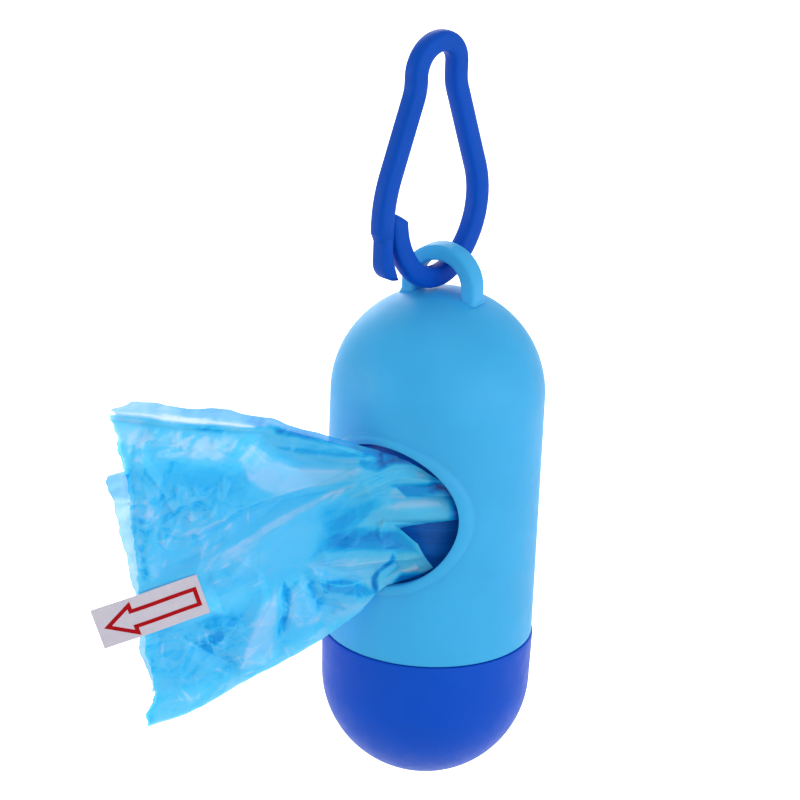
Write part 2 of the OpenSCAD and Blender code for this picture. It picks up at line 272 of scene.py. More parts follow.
def from_tree(name, tree, settings):
    """A plain mesh object made by a node tree with the given settings, by input name."""
    piece = linked(name, bpy.data.meshes.new(name))
    modifier = piece.modifiers.new(name, "NODES")
    modifier.node_group = tree
    for item in tree.interface.items_tree:
        if item.item_type == "SOCKET" and item.in_out == "INPUT":
            modifier[item.identifier] = settings[item.name]
    return baked_modifiers(piece)


# --- Finishes


class Finish:
    """A node material with its Principled shader."""

    def __init__(self, name):
        self.material = bpy.data.materials.new(name)
        self.material.use_nodes = True
        self.tree = self.material.node_tree
        self.shader = self.tree.nodes["Principled BSDF"]
        self.place = self.add("ShaderNodeTexCoord").outputs["Object"]

    def add(self, kind, inputs=None, **settings):
        return add_node(self.tree, kind, inputs, **settings)

    def set(self, **sockets):
        for label, value in sockets.items():
            self.shader.inputs[label.replace("_", " ")].default_value = value

    def link(self, value, label):
        self.tree.links.new(value, self.shader.inputs[label])

    def shows(self, shader):
        self.tree.links.new(shader, self.tree.nodes["Material Output"].inputs["Surface"])

    def noise(self, scale, detail=2.0, roughness=0.5, place=None):
        inputs = {"Scale": scale, "Detail": detail, "Roughness": roughness}
        inputs["Vector"] = place or self.place
        return self.add("ShaderNodeTexNoise", inputs).outputs["Fac"]

    def ramp(self, value, stops):
        node = self.add("ShaderNodeValToRGB", {"Fac": value})
        ends = node.color_ramp.elements
        while len(ends) < len(stops):
            ends.new(0.5)
        for end, (at, colour) in zip(ends, stops):
            end.position = at
            end.color = (*colour, 1)
        return node.outputs["Color"]

    def scaled(self, value, low, high, to_low, to_high):
        inputs = {"Value": value, "From Min": low, "From Max": high}
        inputs |= {"To Min": to_low, "To Max": to_high}
        return self.add("ShaderNodeMapRange", inputs).outputs["Result"]

    def bump(self, height, distance, strength, below=None):
        inputs = {"Height": height, "Distance": distance, "Strength": strength}
        if below is not None:
            inputs["Normal"] = below
        return self.add("ShaderNodeBump", inputs).outputs["Normal"]

    def mottled(self, pattern, dark, light):
        """The base colour, between a dark and a light tone by the pattern."""
        self.link(self.ramp(pattern, [(0.3, dark), (0.7, light)]), "Base Color")


def srgb(red, green, blue):
    """A colour as a screen shows it, from 0 to 255, as the shader's linear values."""
    return tuple(
        ((c / 255 + 0.055) / 1.055) ** 2.4 if c > 10 else c / 255 / 12.92
        for c in (red, green, blue)
    )


def tinted(colour, factor):
    return tuple(min(1.0, c * factor) for c in colour)


def moulded_plastic(name, colour, roughness, gloss=0.32):
    """Injection-moulded plastic: a fine satin grain, faint flow marks and slightly uneven gloss."""
    finish = Finish(name)
    flow = finish.noise(90, detail=3)
    finish.mottled(flow, tinted(colour, 0.96), tinted(colour, 1.04))
    uneven = finish.scaled(finish.noise(420), 0.3, 0.7, roughness - 0.04, roughness + 0.05)
    finish.link(uneven, "Roughness")
    grain = finish.bump(finish.noise(2600, detail=1), 0.00004, 0.5)
    finish.link(finish.bump(flow, 0.0002, 0.35, below=grain), "Normal")
    finish.set(
        Specular_IOR_Level=gloss,
        Subsurface_Weight=0.06,
        Subsurface_Scale=0.004,
        Subsurface_Radius=(0.4, 0.8, 1.0),
    )
    return finish.material


def bag_film(name, tones, tint, clarity):
    """Thin tinted polythene, see-through. Its tone mark makes it dense where the plies cling, pale
    where they don't, and carries painted highlights and painted shade.
    """
    finish = Finish(name)
    cloud = finish.scaled(finish.noise(110, detail=4), 0.3, 0.7, -0.07, 0.07)
    laid = finish.add("ShaderNodeAttribute", attribute_name="tone").outputs["Fac"]
    clouded = finish.add("ShaderNodeMath", {0: laid, 1: cloud}).outputs["Value"]
    tone = finish.scaled(clouded, -1, 1, 0, 1)
    colour = finish.ramp(tone, [(at, srgb(*shade)) for at, shade in tones])
    finish.link(colour, "Base Color")
    crinkle = finish.noise(420, detail=4, roughness=0.6)
    finish.link(finish.bump(crinkle, 0.00012, 0.4), "Normal")
    finish.set(Roughness=0.26, Specular_IOR_Level=0.25)
    hazy = finish.add("ShaderNodeBsdfTranslucent", {"Color": colour})
    clear = finish.add("ShaderNodeBsdfTransparent", {"Color": (*tint, 1)})
    see_through = finish.scaled(tone, 0.1, 1.0, clarity * 0.4, clarity * 1.3)
    surface = finish.shader.outputs["BSDF"]
    for share, other in ((0.25, hazy), (see_through, clear)):
        inputs = {"Fac": share, 1: surface, 2: other.outputs["BSDF"]}
        surface = finish.add("ShaderNodeMixShader", inputs).outputs["Shader"]
    finish.shows(surface)
    return finish.material


def wound_bags_film():
    """Many plies of the film wound together, coloured a deep blue, with their edges as fine lines.
    """
    finish = Finish("wound_film")
    drawn_out = {"Scale": (0.02, 0.02, 1), "Vector": finish.place}
    plies = finish.noise(900, place=finish.add("ShaderNodeMapping", drawn_out).outputs["Vector"])
    finish.mottled(plies, srgb(0, 78, 160), srgb(2, 110, 200))
    finish.link(finish.bump(plies, 0.0001, 0.5), "Normal")
    finish.set(Specular_IOR_Level=0.2, Roughness=0.45)
    return finish.material


def fibrous(name, scale, detail, dark, light, relief, strength, roughness):
    """Board or paper, uneven with its fibres."""
    finish = Finish(name)
    fibres = finish.noise(scale, detail, 0.7)
    finish.mottled(fibres, dark, light)
    finish.link(finish.bump(fibres, relief, strength), "Normal")
    finish.set(Roughness=roughness)
    return finish.material


def printing_ink():
    """Flat red ink, a little uneven in density."""
    finish = Finish("red_ink")
    finish.mottled(finish.noise(1500, detail=3), srgb(160, 0, 14), srgb(182, 6, 22))
    finish.set(Roughness=0.5, Specular_IOR_Level=0.1)
    return finish.material


sky_plastic = moulded_plastic("sky_plastic", srgb(54, 175, 236), 0.5)
# The rim's lip is the housing's own plastic; this lighter copy of it is a painted highlight for the
# light the raised lip catches.
lip_plastic_painted_highlight = moulded_plastic("lip_plastic_painted_highlight", srgb(110, 204, 252), 0.45)
royal_plastic = moulded_plastic("royal_plastic", srgb(4, 80, 202), 0.46, 0.12)
clip_plastic = moulded_plastic("clip_plastic", srgb(0, 78, 188), 0.46, 0.1)
# Each film's ramp turns its tone into colour, from dense to pale; its pale end also shows painted
# highlights and its dense end painted shade.
front_film = bag_film(
    "front_film",
    [
        (0.0, (0, 66, 158)), (0.2, (0, 154, 232)), (0.35, (26, 198, 249)), (0.5, (86, 218, 254)),
        (0.68, (114, 221, 252)), (0.85, (172, 230, 254)), (1.0, (204, 234, 252)),
    ],
    (0.4, 0.8, 1.0), 0.18,
)
upper_film = bag_film(
    "upper_film",
    [
        (0.0, (0, 120, 204)), (0.4, (30, 160, 230)), (0.6, (86, 186, 238)),
        (0.75, (134, 200, 240)), (1.0, (214, 230, 248)),
    ],
    (0.55, 0.75, 0.95), 0.2,
)
back_film = bag_film(
    "back_film",
    [(0.0, (20, 150, 230)), (0.25, (84, 188, 245)), (0.5, (112, 196, 248)), (1.0, (192, 220, 252))],
    (0.5, 0.76, 1.0), 0.4,
)
wound_film = wound_bags_film()
core_board = fibrous(
    "core_board", 500, 6, srgb(150, 124, 92), srgb(196, 172, 136), 0.00008, 0.5, 0.85
)
label_paper = fibrous(
    "label_paper", 700, 5, srgb(200, 194, 210), srgb(208, 203, 216), 0.00003, 0.3, 0.45
)
red_ink = printing_ink()


# --- Housing: shell, rim of the hole, loop and neck thread


def housing_shell():
    """The dome, the straight body and the neck, with the round hole cut in."""
    inner = BODY_R - WALL
    taper = inner - NECK_BORE_R
    neck_top = SEAM_Z + NECK_STEP
    outline = arc((0, 0), BODY_R, 90, 0, 40)[:-1]
    outline += along_z(BODY_R, 0, BODY_R, SEAM_Z + MOULD_EDGE, 44)
    outline += arc((BODY_R - MOULD_EDGE, SEAM_Z + MOULD_EDGE), MOULD_EDGE, 0, -90, 4)
    outline += [(NECK_R + 0.1, SEAM_Z), (NECK_R, SEAM_Z - 0.1)]
    outline += [(NECK_R, NECK_END_Z + 0.3), (NECK_R - 0.3, NECK_END_Z)]
    outline += [(NECK_BORE_R + 0.2, NECK_END_Z), (NECK_BORE_R, NECK_END_Z + 0.2)]
    outline += [(NECK_BORE_R, neck_top - taper), (inner, neck_top)]
    outline += along_z(inner, neck_top + 0.5, inner, 0, 40)
    outline += arc((0, 0), inner, 0, 90, 36)
    shell = spun("housing", outline, sky_plastic)
    drill = hole_drill()
    cut = shell.modifiers.new("hole", "BOOLEAN")
    cut.operation = "DIFFERENCE"
    cut.solver = "EXACT"
    cut.object = drill
    baked_modifiers(shell)
    bpy.data.objects.remove(drill)
    smooth(shell)
    return shell


def hole_drill():
    """The round cutter of the hole, a little wider than the hole, as the rim's lining fills it."""
    turn = np.linspace(0, 2 * math.pi, 160, endpoint=False)
    radius = HOLE_R + LINING
    across, up = radius * np.cos(turn), HOLE_Z + radius * np.sin(turn)
    rings = [np.stack([across, across * 0 + depth, up], -1) for depth in (-BODY_R - 4, -2)]
    return swept("hole_drill", rings, sky_plastic, DOME)


def hole_rim():
    """The raised rim: a rounded lip that follows the body's curve, with a lining to the inside."""
    half = (RIM_W + LINING) / 2
    crest = HOLE_R + half
    foot = HOLE_R + 2 * half
    section = [(foot + 1.0, -0.12), (foot + 0.25, 0.0), (foot + 0.05, 0.06)]
    section += [
        (crest + half * math.cos(a), 0.1 + (RIM_H - 0.02) * math.sin(a))
        for a in np.radians(np.linspace(8, 150, 13))
    ]
    section += [(HOLE_R + 0.02, 0.15), (HOLE_R, -0.15), (HOLE_R, -WALL + 0.3)]
    section += [(HOLE_R + 0.12, -WALL - 0.02), (HOLE_R + 0.4, -WALL - 0.15)]
    section += [(HOLE_R + 0.9, -WALL - 0.05), (HOLE_R + 0.9, -0.4)]
    steps = 320
    points = []
    for a in np.linspace(0, 2 * math.pi, steps, endpoint=False):
        for radius, lift in section:
            x, z = radius * math.cos(a), radius * math.sin(a)
            points.append((x, -math.sqrt(max((BODY_R + lift) ** 2 - x * x, 0)), HOLE_Z + z))
    faces = grid_faces(steps, len(section), wrap_rows=True, wrap_cols=True)
    # Its plastic is painted lighter than the body's: a painted highlight on the lip.
    return close_and_smooth(piece_from("hole_rim", points, faces, lip_plastic_painted_highlight, DOME), 50)


def band_section(thick, deep, edge, steps=5):
    """A rounded rectangle, centred."""
    points = []
    for x, y, start in ((1, 1, 0), (-1, 1, 90), (-1, -1, 180), (1, -1, 270)):
        centre = (x * (thick / 2 - edge), y * (deep / 2 - edge))
        points += arc(centre, edge, start, start + 90, steps)
    return points


def moulded_loop():
    """The arch on the dome. Its feet flare where they meet the dome."""
    leg = [(LOOP_MID_R, z, 0.0) for _, z in along_z(0, LOOP_FOOT_Z, 0, LOOP_Z, 13)]
    arch = [
        (x, z, a)
        for (x, z), a in zip(arc((0, LOOP_Z), LOOP_MID_R, 0, 180, 60), np.linspace(0, 180, 61))
    ]
    rings = []
    for x, z, a in leg + arch + [(-x, z, 180.0) for x, z, _ in leg[::-1]]:
        flare = 0.3 * math.exp(-max(z - LOOP_FOOT_Z - 0.2, 0) / 0.25)
        section = band_section(LOOP_T + 2 * flare, LOOP_DEPTH + 2 * flare, 0.65 + 0.5 * flare)
        lean = math.radians(a)
        rings.append([(x + u * math.cos(lean), v, z + u * math.sin(lean)) for u, v in section])
    return swept("moulded_loop", rings, sky_plastic, DOME, 60)


def thread_tree():
    """A helical ridge of trapezoid section, which thins out at both ends."""
    tree, sizes = new_tree(
        "thread_ridge",
        ("Root radius", "Pitch", "Turns", "Root width", "Crest width", "Depth"),
    )

    def maths(operation, a, b):
        return add_node(tree, "ShaderNodeMath", {0: a, 1: b}, operation=operation).outputs[0]

    inputs = {"Resolution": 96, "Rotations": sizes["Turns"], "Start Radius": sizes["Root radius"]}
    inputs["End Radius"] = sizes["Root radius"]
    inputs["Height"] = maths("MULTIPLY", sizes["Pitch"], sizes["Turns"])
    helix = add_node(tree, "GeometryNodeCurveSpiral", inputs).outputs["Curve"]
    upright = add_node(tree, "GeometryNodeSetCurveNormal", {"Curve": helix}, mode="Z_UP")
    # The ridge grows from nothing to its full height over the first and last share of its length
    along = add_node(tree, "GeometryNodeSplineParameter").outputs["Factor"]
    from_end = maths("MINIMUM", along, maths("SUBTRACT", 1.0, along))
    grow = maths("MINIMUM", maths("MULTIPLY", from_end, 14.0), 1.0)
    inputs = {"Curve": upright.outputs["Curve"], "Radius": maths("MAXIMUM", grow, 0.05)}
    sized = add_node(tree, "GeometryNodeSetCurveRadius", inputs).outputs["Curve"]
    inputs = {"Bottom Width": sizes["Root width"], "Top Width": sizes["Crest width"]}
    inputs |= {"Offset": 0, "Height": sizes["Depth"]}
    section = add_node(
        tree, "GeometryNodeCurvePrimitiveQuadrilateral", inputs, mode="TRAPEZOID"
    )
    ridge = swept_in_tree(tree, sized, section.outputs["Curve"])
    return end_tree(tree, ridge, sizes["Finish"])


def thread_ridge(name, root_r, low_z, material, inwards=False):
    """One turn of thread, outside a wall or inside a bore."""
    widths = (THREAD_CREST_W, THREAD_ROOT_W) if inwards else (THREAD_ROOT_W, THREAD_CREST_W)
    ridge = from_tree(
        name,
        ridge_tree,
        {
            "Root radius": (root_r + (-THREAD_DEPTH if inwards else THREAD_DEPTH) / 2) * MM,
            "Pitch": THREAD_PITCH * MM,
            "Turns": 1.0,
            "Root width": widths[0] * MM,
            "Crest width": widths[1] * MM,
            "Depth": THREAD_DEPTH * MM,
            "Finish": material,
        },
    )
    ridge.data.transform(Matrix.Translation(DOME + Vector((0, 0, low_z * MM))))
    return close_and_smooth(ridge)


ridge_tree = thread_tree()
neck_thread = thread_ridge("neck_thread", NECK_R - 0.1, THREAD_START_Z, sky_plastic)
housing = joined("housing_shell", [housing_shell(), hole_rim(), moulded_loop(), neck_thread])
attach(housing, "capsule")
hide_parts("housing")


# --- Screw cap


def cap_shell():
    """The domed bottom and its skirt, a little wider than the body."""
    inner = BODY_R - WALL
    low = -STRAIGHT_H
    top = SEAM_Z - SEAM_GAP
    outer = BODY_R + RIM_STEP
    outline = arc((0, low), BODY_R, -90, 0, 40)[:-1]
    outline += along_z(BODY_R, low, outer, top - MOULD_EDGE, 9)
    outline += arc((outer - MOULD_EDGE, top - MOULD_EDGE), MOULD_EDGE, 0, 90, 4)
    outline += [(SKIRT_BORE_R + 0.15, top), (SKIRT_BORE_R, top - 0.15)]
    outline += [(SKIRT_BORE_R, low + 0.02), (inner, low)]
    outline += arc((0, low), inner, 0, -90, 36)
    return spun("cap_shell", outline, royal_plastic)


cap_thread = thread_ridge(
    "cap_thread", SKIRT_BORE_R + 0.1, THREAD_START_Z - THREAD_PITCH / 2, royal_plastic, inwards=True
)
cap = joined("cap_shell", [cap_shell(), cap_thread])
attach(cap, "cap")
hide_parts("screw_cap")


# --- Snap clip: one moulding, whose gate arm bends at its root

clip_across = Vector((math.cos(math.radians(CLIP_TURN)), math.sin(math.radians(CLIP_TURN)), 0))
clip_normal = Vector((clip_across.y, -clip_across.x, 0))

# The rod's course, in turns of (radius, degrees) and straight stretches of (length, 0)
BACK_MOVES = [
    (4.0, 90), (1.9, 0), (8.0, -20.4), (14.75, 0), (14.8, 69.4), (7.5, 84.5), (13.15, 39.5),
    (1.6, 0),
]
GATE_BEND = [(5.4, -90), (0.3, 0)]
ARM_MOVES = [(8.0, 20.4), (13.15, 0), (24.0, -20.4)]


def rod_line(moves, start, spacing=0.35):
    """Points (x, y, heading) along moves of (length or radius, turn), right turns positive."""
    x, y, heading = start
    line = [(x, y, heading)]
    for size, turn in moves:
        length = size if turn == 0 else size * math.radians(abs(turn))
        steps = max(2, round(length / spacing))
        side = math.copysign(1, turn)
        x0, y0, h0 = x, y, heading
        for k in range(1, steps + 1):
            if turn == 0:
                x = x0 + size * k / steps * math.sin(math.radians(h0))
                y = y0 + size * k / steps * math.cos(math.radians(h0))
            else:
                heading = h0 + turn * k / steps
                a, b = math.radians(h0), math.radians(heading)
                x = x0 + side * size * (math.cos(a) - math.cos(b))
                y = y0 + side * size * (math.sin(b) - math.sin(a))
            line.append((x, y, heading))
    return line


def in_clip_plane(x, y, depth):
    """A point of the clip's plane, in millimetres of the row's frame."""
    return (
        x * clip_across.x + depth * clip_normal.x,
        x * clip_across.y + depth * clip_normal.y,
        y,
    )


def rod_section(steps=36):
    """The rod's section: round, with its front and back flattened and the edges eased."""
    points = []
    for k in range(steps):
        a = 2 * math.pi * k / steps
        ease = 1.6 / ROD_HALF_DEPTH
        front = math.tanh(ease * ROD_R * math.sin(a)) / math.tanh(ease * ROD_R)
        points.append((ROD_R * math.cos(a), ROD_HALF_DEPTH * front))
    return points


def rod_rings(line):
    """The rod's section, set across the line at each of its points."""
    rings = []
    for x, y, heading in line:
        right, up = math.cos(math.radians(heading)), -math.sin(math.radians(heading))
        rings.append(
            [in_clip_plane(x + side * right, y + side * up, front) for side, front in rod_section()]
        )
    return np.array(rings)


def nose_cap(rings):
    """Rounds the nose's end: its last rings draw in, higher on the side of the gate."""
    rings = rings[:-2]
    count, drop, rise, slant = 9, 0.8, 1.6, 0.7
    base = rings[-1]
    middle = base.mean(0)
    ahead = middle - rings[-3].mean(0)
    ahead /= np.linalg.norm(ahead)
    towards_gate = -((base - middle) @ np.array(clip_across))[:, None]
    caps = []
    for k in range(1, count + 1):
        a = math.radians(86 * k / count)
        share = math.cos(a) ** drop
        further = (rise + slant * towards_gate * share) * math.sin(a)
        caps.append(middle + (base - middle) * share + ahead * further)
    return np.concatenate([rings, np.array(caps)])


def clip_body():
    """Top bend, back leg, belly, hook and nose."""
    line = rod_line(BACK_MOVES, (0, ROD_R, 90))
    gate_side = rod_line(GATE_BEND, (0, ROD_R, -90))
    turned = [(x, y, heading + 180) for x, y, heading in gate_side[:0:-1]]
    return swept("clip_body", nose_cap(rod_rings(turned + line)), clip_plastic, angle=50)


def clip_arm():
    """The gate arm, from the end of the top bend to the shoulder."""
    line = rod_line([(GATE_ROOT_H, 0)] + ARM_MOVES, (*GATE_ROOT, 180))
    rings = rod_rings(line)
    heading = math.radians(line[-1][2])
    ahead = np.array(in_clip_plane(math.sin(heading), math.cos(heading), 0))
    across = np.array(in_clip_plane(math.cos(heading), -math.sin(heading), 0))
    # The shoulder is cut at a slant, lower beside the nose, and its edge is eased
    reach, slant = 1.5, 0.3
    middle = rings[-1].mean(0)
    shoulder = rings[-1] + (reach - slant * (rings[-1] - middle) @ across)[:, None] * ahead
    middle = middle + reach * ahead
    eased = [
        middle + (shoulder - middle) * share + ahead * further
        for share, further in ((0.95, 0.14), (0.74, 1.2))
    ]
    return swept("clip_arm", np.concatenate([rings, [shoulder], eased]), clip_plastic, angle=30)


def latch_blade():
    """The arm's thinner end beside the nose: a rounded heel, a curved-in tip and eased edges."""
    x0, y0, _ = rod_line(ARM_MOVES, (GATE_ROOT[0], GATE_ROOT[1] - GATE_ROOT_H, 180))[-1]
    face, thick, reach, length, tip, heel = 1.45, 2.25, 1.6, 9.5, 5.0, 3.4
    outer = face - thick
    outline = [(face, 0.25), (face, -1.5), (face, tip - length)]
    outline += [(face + reach * (k / 9) ** 1.35, tip - length - tip * (k / 9)) for k in range(1, 9)]
    outline += [(face + reach, -length + 0.1), (face + reach - 0.25, -length - 0.02)]
    outline += arc((outer + heel, heel - length), heel, -92, -180, 14)
    outline += [(outer, -2), (outer - 0.12, -0.9), (outer - 0.45, -0.25), (outer - 0.5, 0.25)]
    layers = ((-1.5, 0.35), (-1.32, 0.08), (-1.1, 0), (1.1, 0), (1.32, 0.08), (1.5, 0.35))
    rings = [
        [in_clip_plane(x0 + x, y0 + y, depth) for x, y in inset(outline, shrink)]
        for depth, shrink in layers
    ]
    count, around = len(rings), len(outline)
    faces = grid_faces(count, around, wrap_cols=True)
    faces += [tuple(range(around)), tuple(range((count - 1) * around, count * around))]
    blade = piece_from("latch_blade", np.reshape(rings, (-1, 3)), faces, clip_plastic)
    return close_and_smooth(blade, 50)


def inset(outline, distance):
    """The closed outline moved inwards by a distance."""
    points = np.array(outline, float)
    before, after = np.roll(points, 1, 0), np.roll(points, -1, 0)
    area = np.sum(points[:, 0] * after[:, 1] - after[:, 0] * points[:, 1])
    along = after - before
    along /= np.linalg.norm(along, axis=1)[:, None]
    left = np.stack([-along[:, 1], along[:, 0]], -1) * math.copysign(1, area)
    return points + left * distance


clip = clip_body()
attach(clip, "clip")
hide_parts("clip_frame")
arm = joined("clip_arm", [clip_arm(), latch_blade()])
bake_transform(arm)
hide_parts("clip_gate")


# --- Roll: the core and fourteen bags wound on it


def winding_tree():
    """Film wound in a spiral: its turns, the height of the roll and the film's ripple."""
    tree, sizes = new_tree(
        "wound_bag",
        ("Inner radius", "Outer radius", "Turns", "Height", "Thickness", "Ripple", "Seed"),
    )
    inputs = {"Resolution": 72, "Height": 0, "Rotations": sizes["Turns"]}
    inputs |= {"Start Radius": sizes["Inner radius"], "End Radius": sizes["Outer radius"]}
    spiral = add_node(tree, "GeometryNodeCurveSpiral", inputs).outputs["Curve"]
    upright = add_node(tree, "GeometryNodeSetCurveNormal", {"Curve": spiral}, mode="Z_UP")
    inputs = {"Width": sizes["Thickness"], "Height": sizes["Height"]}
    section = add_node(tree, "GeometryNodeCurvePrimitiveQuadrilateral", inputs).outputs["Curve"]
    dense = add_node(tree, "GeometryNodeSubdivideCurve", {"Cuts": 5, "Curve": section})
    film = swept_in_tree(tree, upright.outputs["Curve"], dense.outputs["Curve"])
    place = add_node(tree, "GeometryNodeInputPosition").outputs[0]
    inputs = {"Scale": 70, "Vector": place, "W": sizes["Seed"]}
    noise = add_node(tree, "ShaderNodeTexNoise", inputs, noise_dimensions="4D").outputs["Color"]
    inputs = {0: noise, 1: (0.5, 0.5, 0.5)}
    centred = add_node(tree, "ShaderNodeVectorMath", inputs, operation="SUBTRACT").outputs[0]
    inputs = {0: centred, "Scale": sizes["Ripple"]}
    ripple = add_node(tree, "ShaderNodeVectorMath", inputs, operation="SCALE").outputs[0]
    moved = add_node(tree, "GeometryNodeSetPosition", {"Geometry": film, "Offset": ripple})
    return end_tree(tree, moved.outputs["Geometry"], sizes["Finish"])


def bag_radius(number):
    """Outer radius of a wound bag, as the solids have it."""
    share = (BAGS + 1 - number) / (BAGS - 1)
    return math.sqrt(CORE_R**2 + share * (ROLL_R**2 - CORE_R**2))


bag_tree = winding_tree()
roll_middle = DOME + Vector((0, 0, (ROLL_Z + ROLL_H / 2) * MM))
for number in range(2, BAGS + 1):
    bag = from_tree(
        f"wound_bag_{number:02d}",
        bag_tree,
        {
            "Inner radius": (bag_radius(number + 1) + 0.1) * MM,
            "Outer radius": (bag_radius(number) - 0.08) * MM,
            "Turns": 3.0 if number > 5 else 2.0,
            "Height": (ROLL_H - 0.4) * MM,
            "Thickness": FILM_T * MM,
            "Ripple": 0.12 * MM,
            "Seed": float(number),
            "Finish": wound_film,
        },
    )
    turned = Matrix.Rotation(math.radians(137.5 * number), 4, "Z")
    bag.data.transform(Matrix.Translation(roll_middle) @ turned)
    close_and_smooth(bag)
    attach(bag, "roll")
    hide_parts(f"bag_{number:02d}")

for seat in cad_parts["core_tube"].material_slots:
    seat.material = core_board


# --- Leading bag: plies of film, gathered in the hole and fanned out to a torn end

film_along = np.array(
    [math.cos(math.radians(FILM_HEADING)), math.sin(math.radians(FILM_HEADING)), 0]
)
film_out = np.array([-film_along[1], film_along[0], 0])

# Edges of the front ply: distance from the roll, and height above the hole's centre
FRONT_TOP = [
    (-8, 4.6), (0, 5.8), (3, 7.6), (7, 10.2), (9.5, 11.1), (11.4, 11.7), (15, 12.3),
    (22, 14.5), (30, 16.9), (39, 17.2), (46, 17.7), (51, 18.8), (58, 19.4),
]
FRONT_LOW = [
    (-8, -3), (0, -7), (2, -9), (4.3, -10.4), (8, -11.7), (10, -12.2), (11.5, -13.2),
    (14.2, -16.8), (21, -22.1), (27, -25.3), (35, -29.9), (44, -35.3), (51, -37.5),
]
FRONT_END = [
    (57.1, 19.3), (55.8, 15.4), (55.4, 12.2), (54.4, 8.9), (53.5, 4.3), (53.4, 1),
    (52.5, -7.4), (52.2, -11.7), (51, -20.7), (50.8, -23.7), (49.8, -26.8),
    (49.2, -31.2), (49.8, -33.3), (50.8, -35.1), (50.4, -37.5),
]

# The long folds, as crest line, height (below nothing in a valley) and width above and below it
FOLDS = {
    "main fold, from the throat to the label": ([
        (7, 9.6), (12, 8.3), (18, 5.5), (25, 2), (30, -1.9), (35, -4.9), (42, -8.5), (48, -11)
    ], 1.5, 3, 8),
    "pale flap above it": ([
        (10, 9.2), (18, 7.6), (25, 6), (31.5, 4), (36, 2.2), (45, -3)
    ], 1.3, 5.5, 1.6),
    "fold under the top edge": ([
        (11, 10.6), (18, 12.8), (24, 15), (29.4, 16.9), (35, 17)
    ], 1.3, 2, 4),
    "dark gutter beside the flap": ([
        (14, 10.4), (18, 10), (25, 9.9), (30.5, 11.2), (34, 14)
    ], -0.8, 2, 1.2),
    "crinkled crest": ([(52, 15), (45, 14), (37, 12.8), (34.5, 10)], 1.1, 3.5, 8),
    "top hem": ([(57, 18.6), (46, 17.2), (36, 16.6), (31, 15.6)], 0.8, 1, 2.2),
    "gutter by the free end": ([(54, 12), (53.2, 6.5), (52.7, -2), (52.1, -10)], -0.8, 1.3, 1.5),
    "crest beside it": ([(52, 9), (50.6, 4), (51.2, -2), (50.5, -8), (49.5, -11)], 0.9, 1.6, 2.4),
    "slanting crease": ([(52.8, 12.6), (50.6, 9.2), (48.2, 6)], 0.7, 1.6, 1.4),
    "bright dash": ([(48.8, 17), (51.7, 14), (52.8, 12.4)], 0.9, 0.9, 1.3),
    "large triangle": ([(28.2, -11.6), (31, -16.5), (33.7, -22.4), (34.9, -28)], 1.5, 3.2, 5.5),
    "crease in the triangle": ([(27.7, -11), (26.9, -16), (28.3, -21.3)], -0.8, 1, 1.2),
    "small triangle": ([(23.6, -10.5), (26.2, -13.4), (27, -18.6)], 0.9, 1.1, 4),
    "gutter beside it": ([(21.8, -9.4), (23.4, -11.6), (21.6, -15.6), (17, -16.4)], -0.8, 1.6, 1.6),
    "lens fold": ([(23, -8.6), (21.6, -10.6), (18, -11.6), (14, -11.2)], 1.3, 3.6, 1.2),
    "fold over the lens": ([(23.4, -7.8), (17.3, -5.8), (12, -5.2), (8, -5.6)], 0.9, 1.4, 2.2),
    "crease under the label": ([(44, -21), (40, -24), (35.5, -26)], -0.9, 2.2, 1.6),
    "second crease there": ([(41, -19.5), (38, -18.5), (34, -19.5)], 0.7, 2, 1.5),
    "bottom hem": ([(49, -33), (42, -31.6), (35.5, -28.5), (28, -25), (21, -21.4)], 0.8, 3, 2.2),
    "corner by the label": ([(41.2, -10.2), (37, -9.2), (33.7, -5.4)], 0.7, 2, 1.4),
    "fold in the dense area": ([(32.6, -7.9), (31.2, -13.3), (33.5, -18.8)], 0.5, 2.6, 1.2),
    "upper throat fold": ([(17, 4.4), (13, 6.6), (9.4, 7.7), (5.5, 7.3), (1, 6.6)], 0.9, 1.5, 1.6),
    "low throat fold": ([
        (20, -8.3), (15.7, -7.8), (11.5, -7.4), (9, -7.1), (4.5, -7.3)
    ], 1.0, 1.4, 2.2),
    "curl at the rim": ([
        (8.6, -7.6), (8.8, -8.8), (11.5, -10.2), (12.3, -11.4), (11.8, -13)
    ], -1.2, 0.9, 1.1),
    "bright lip of the curl": ([(8, -9.5), (4.4, -8.9)], 0.7, 0.9, 1),
}
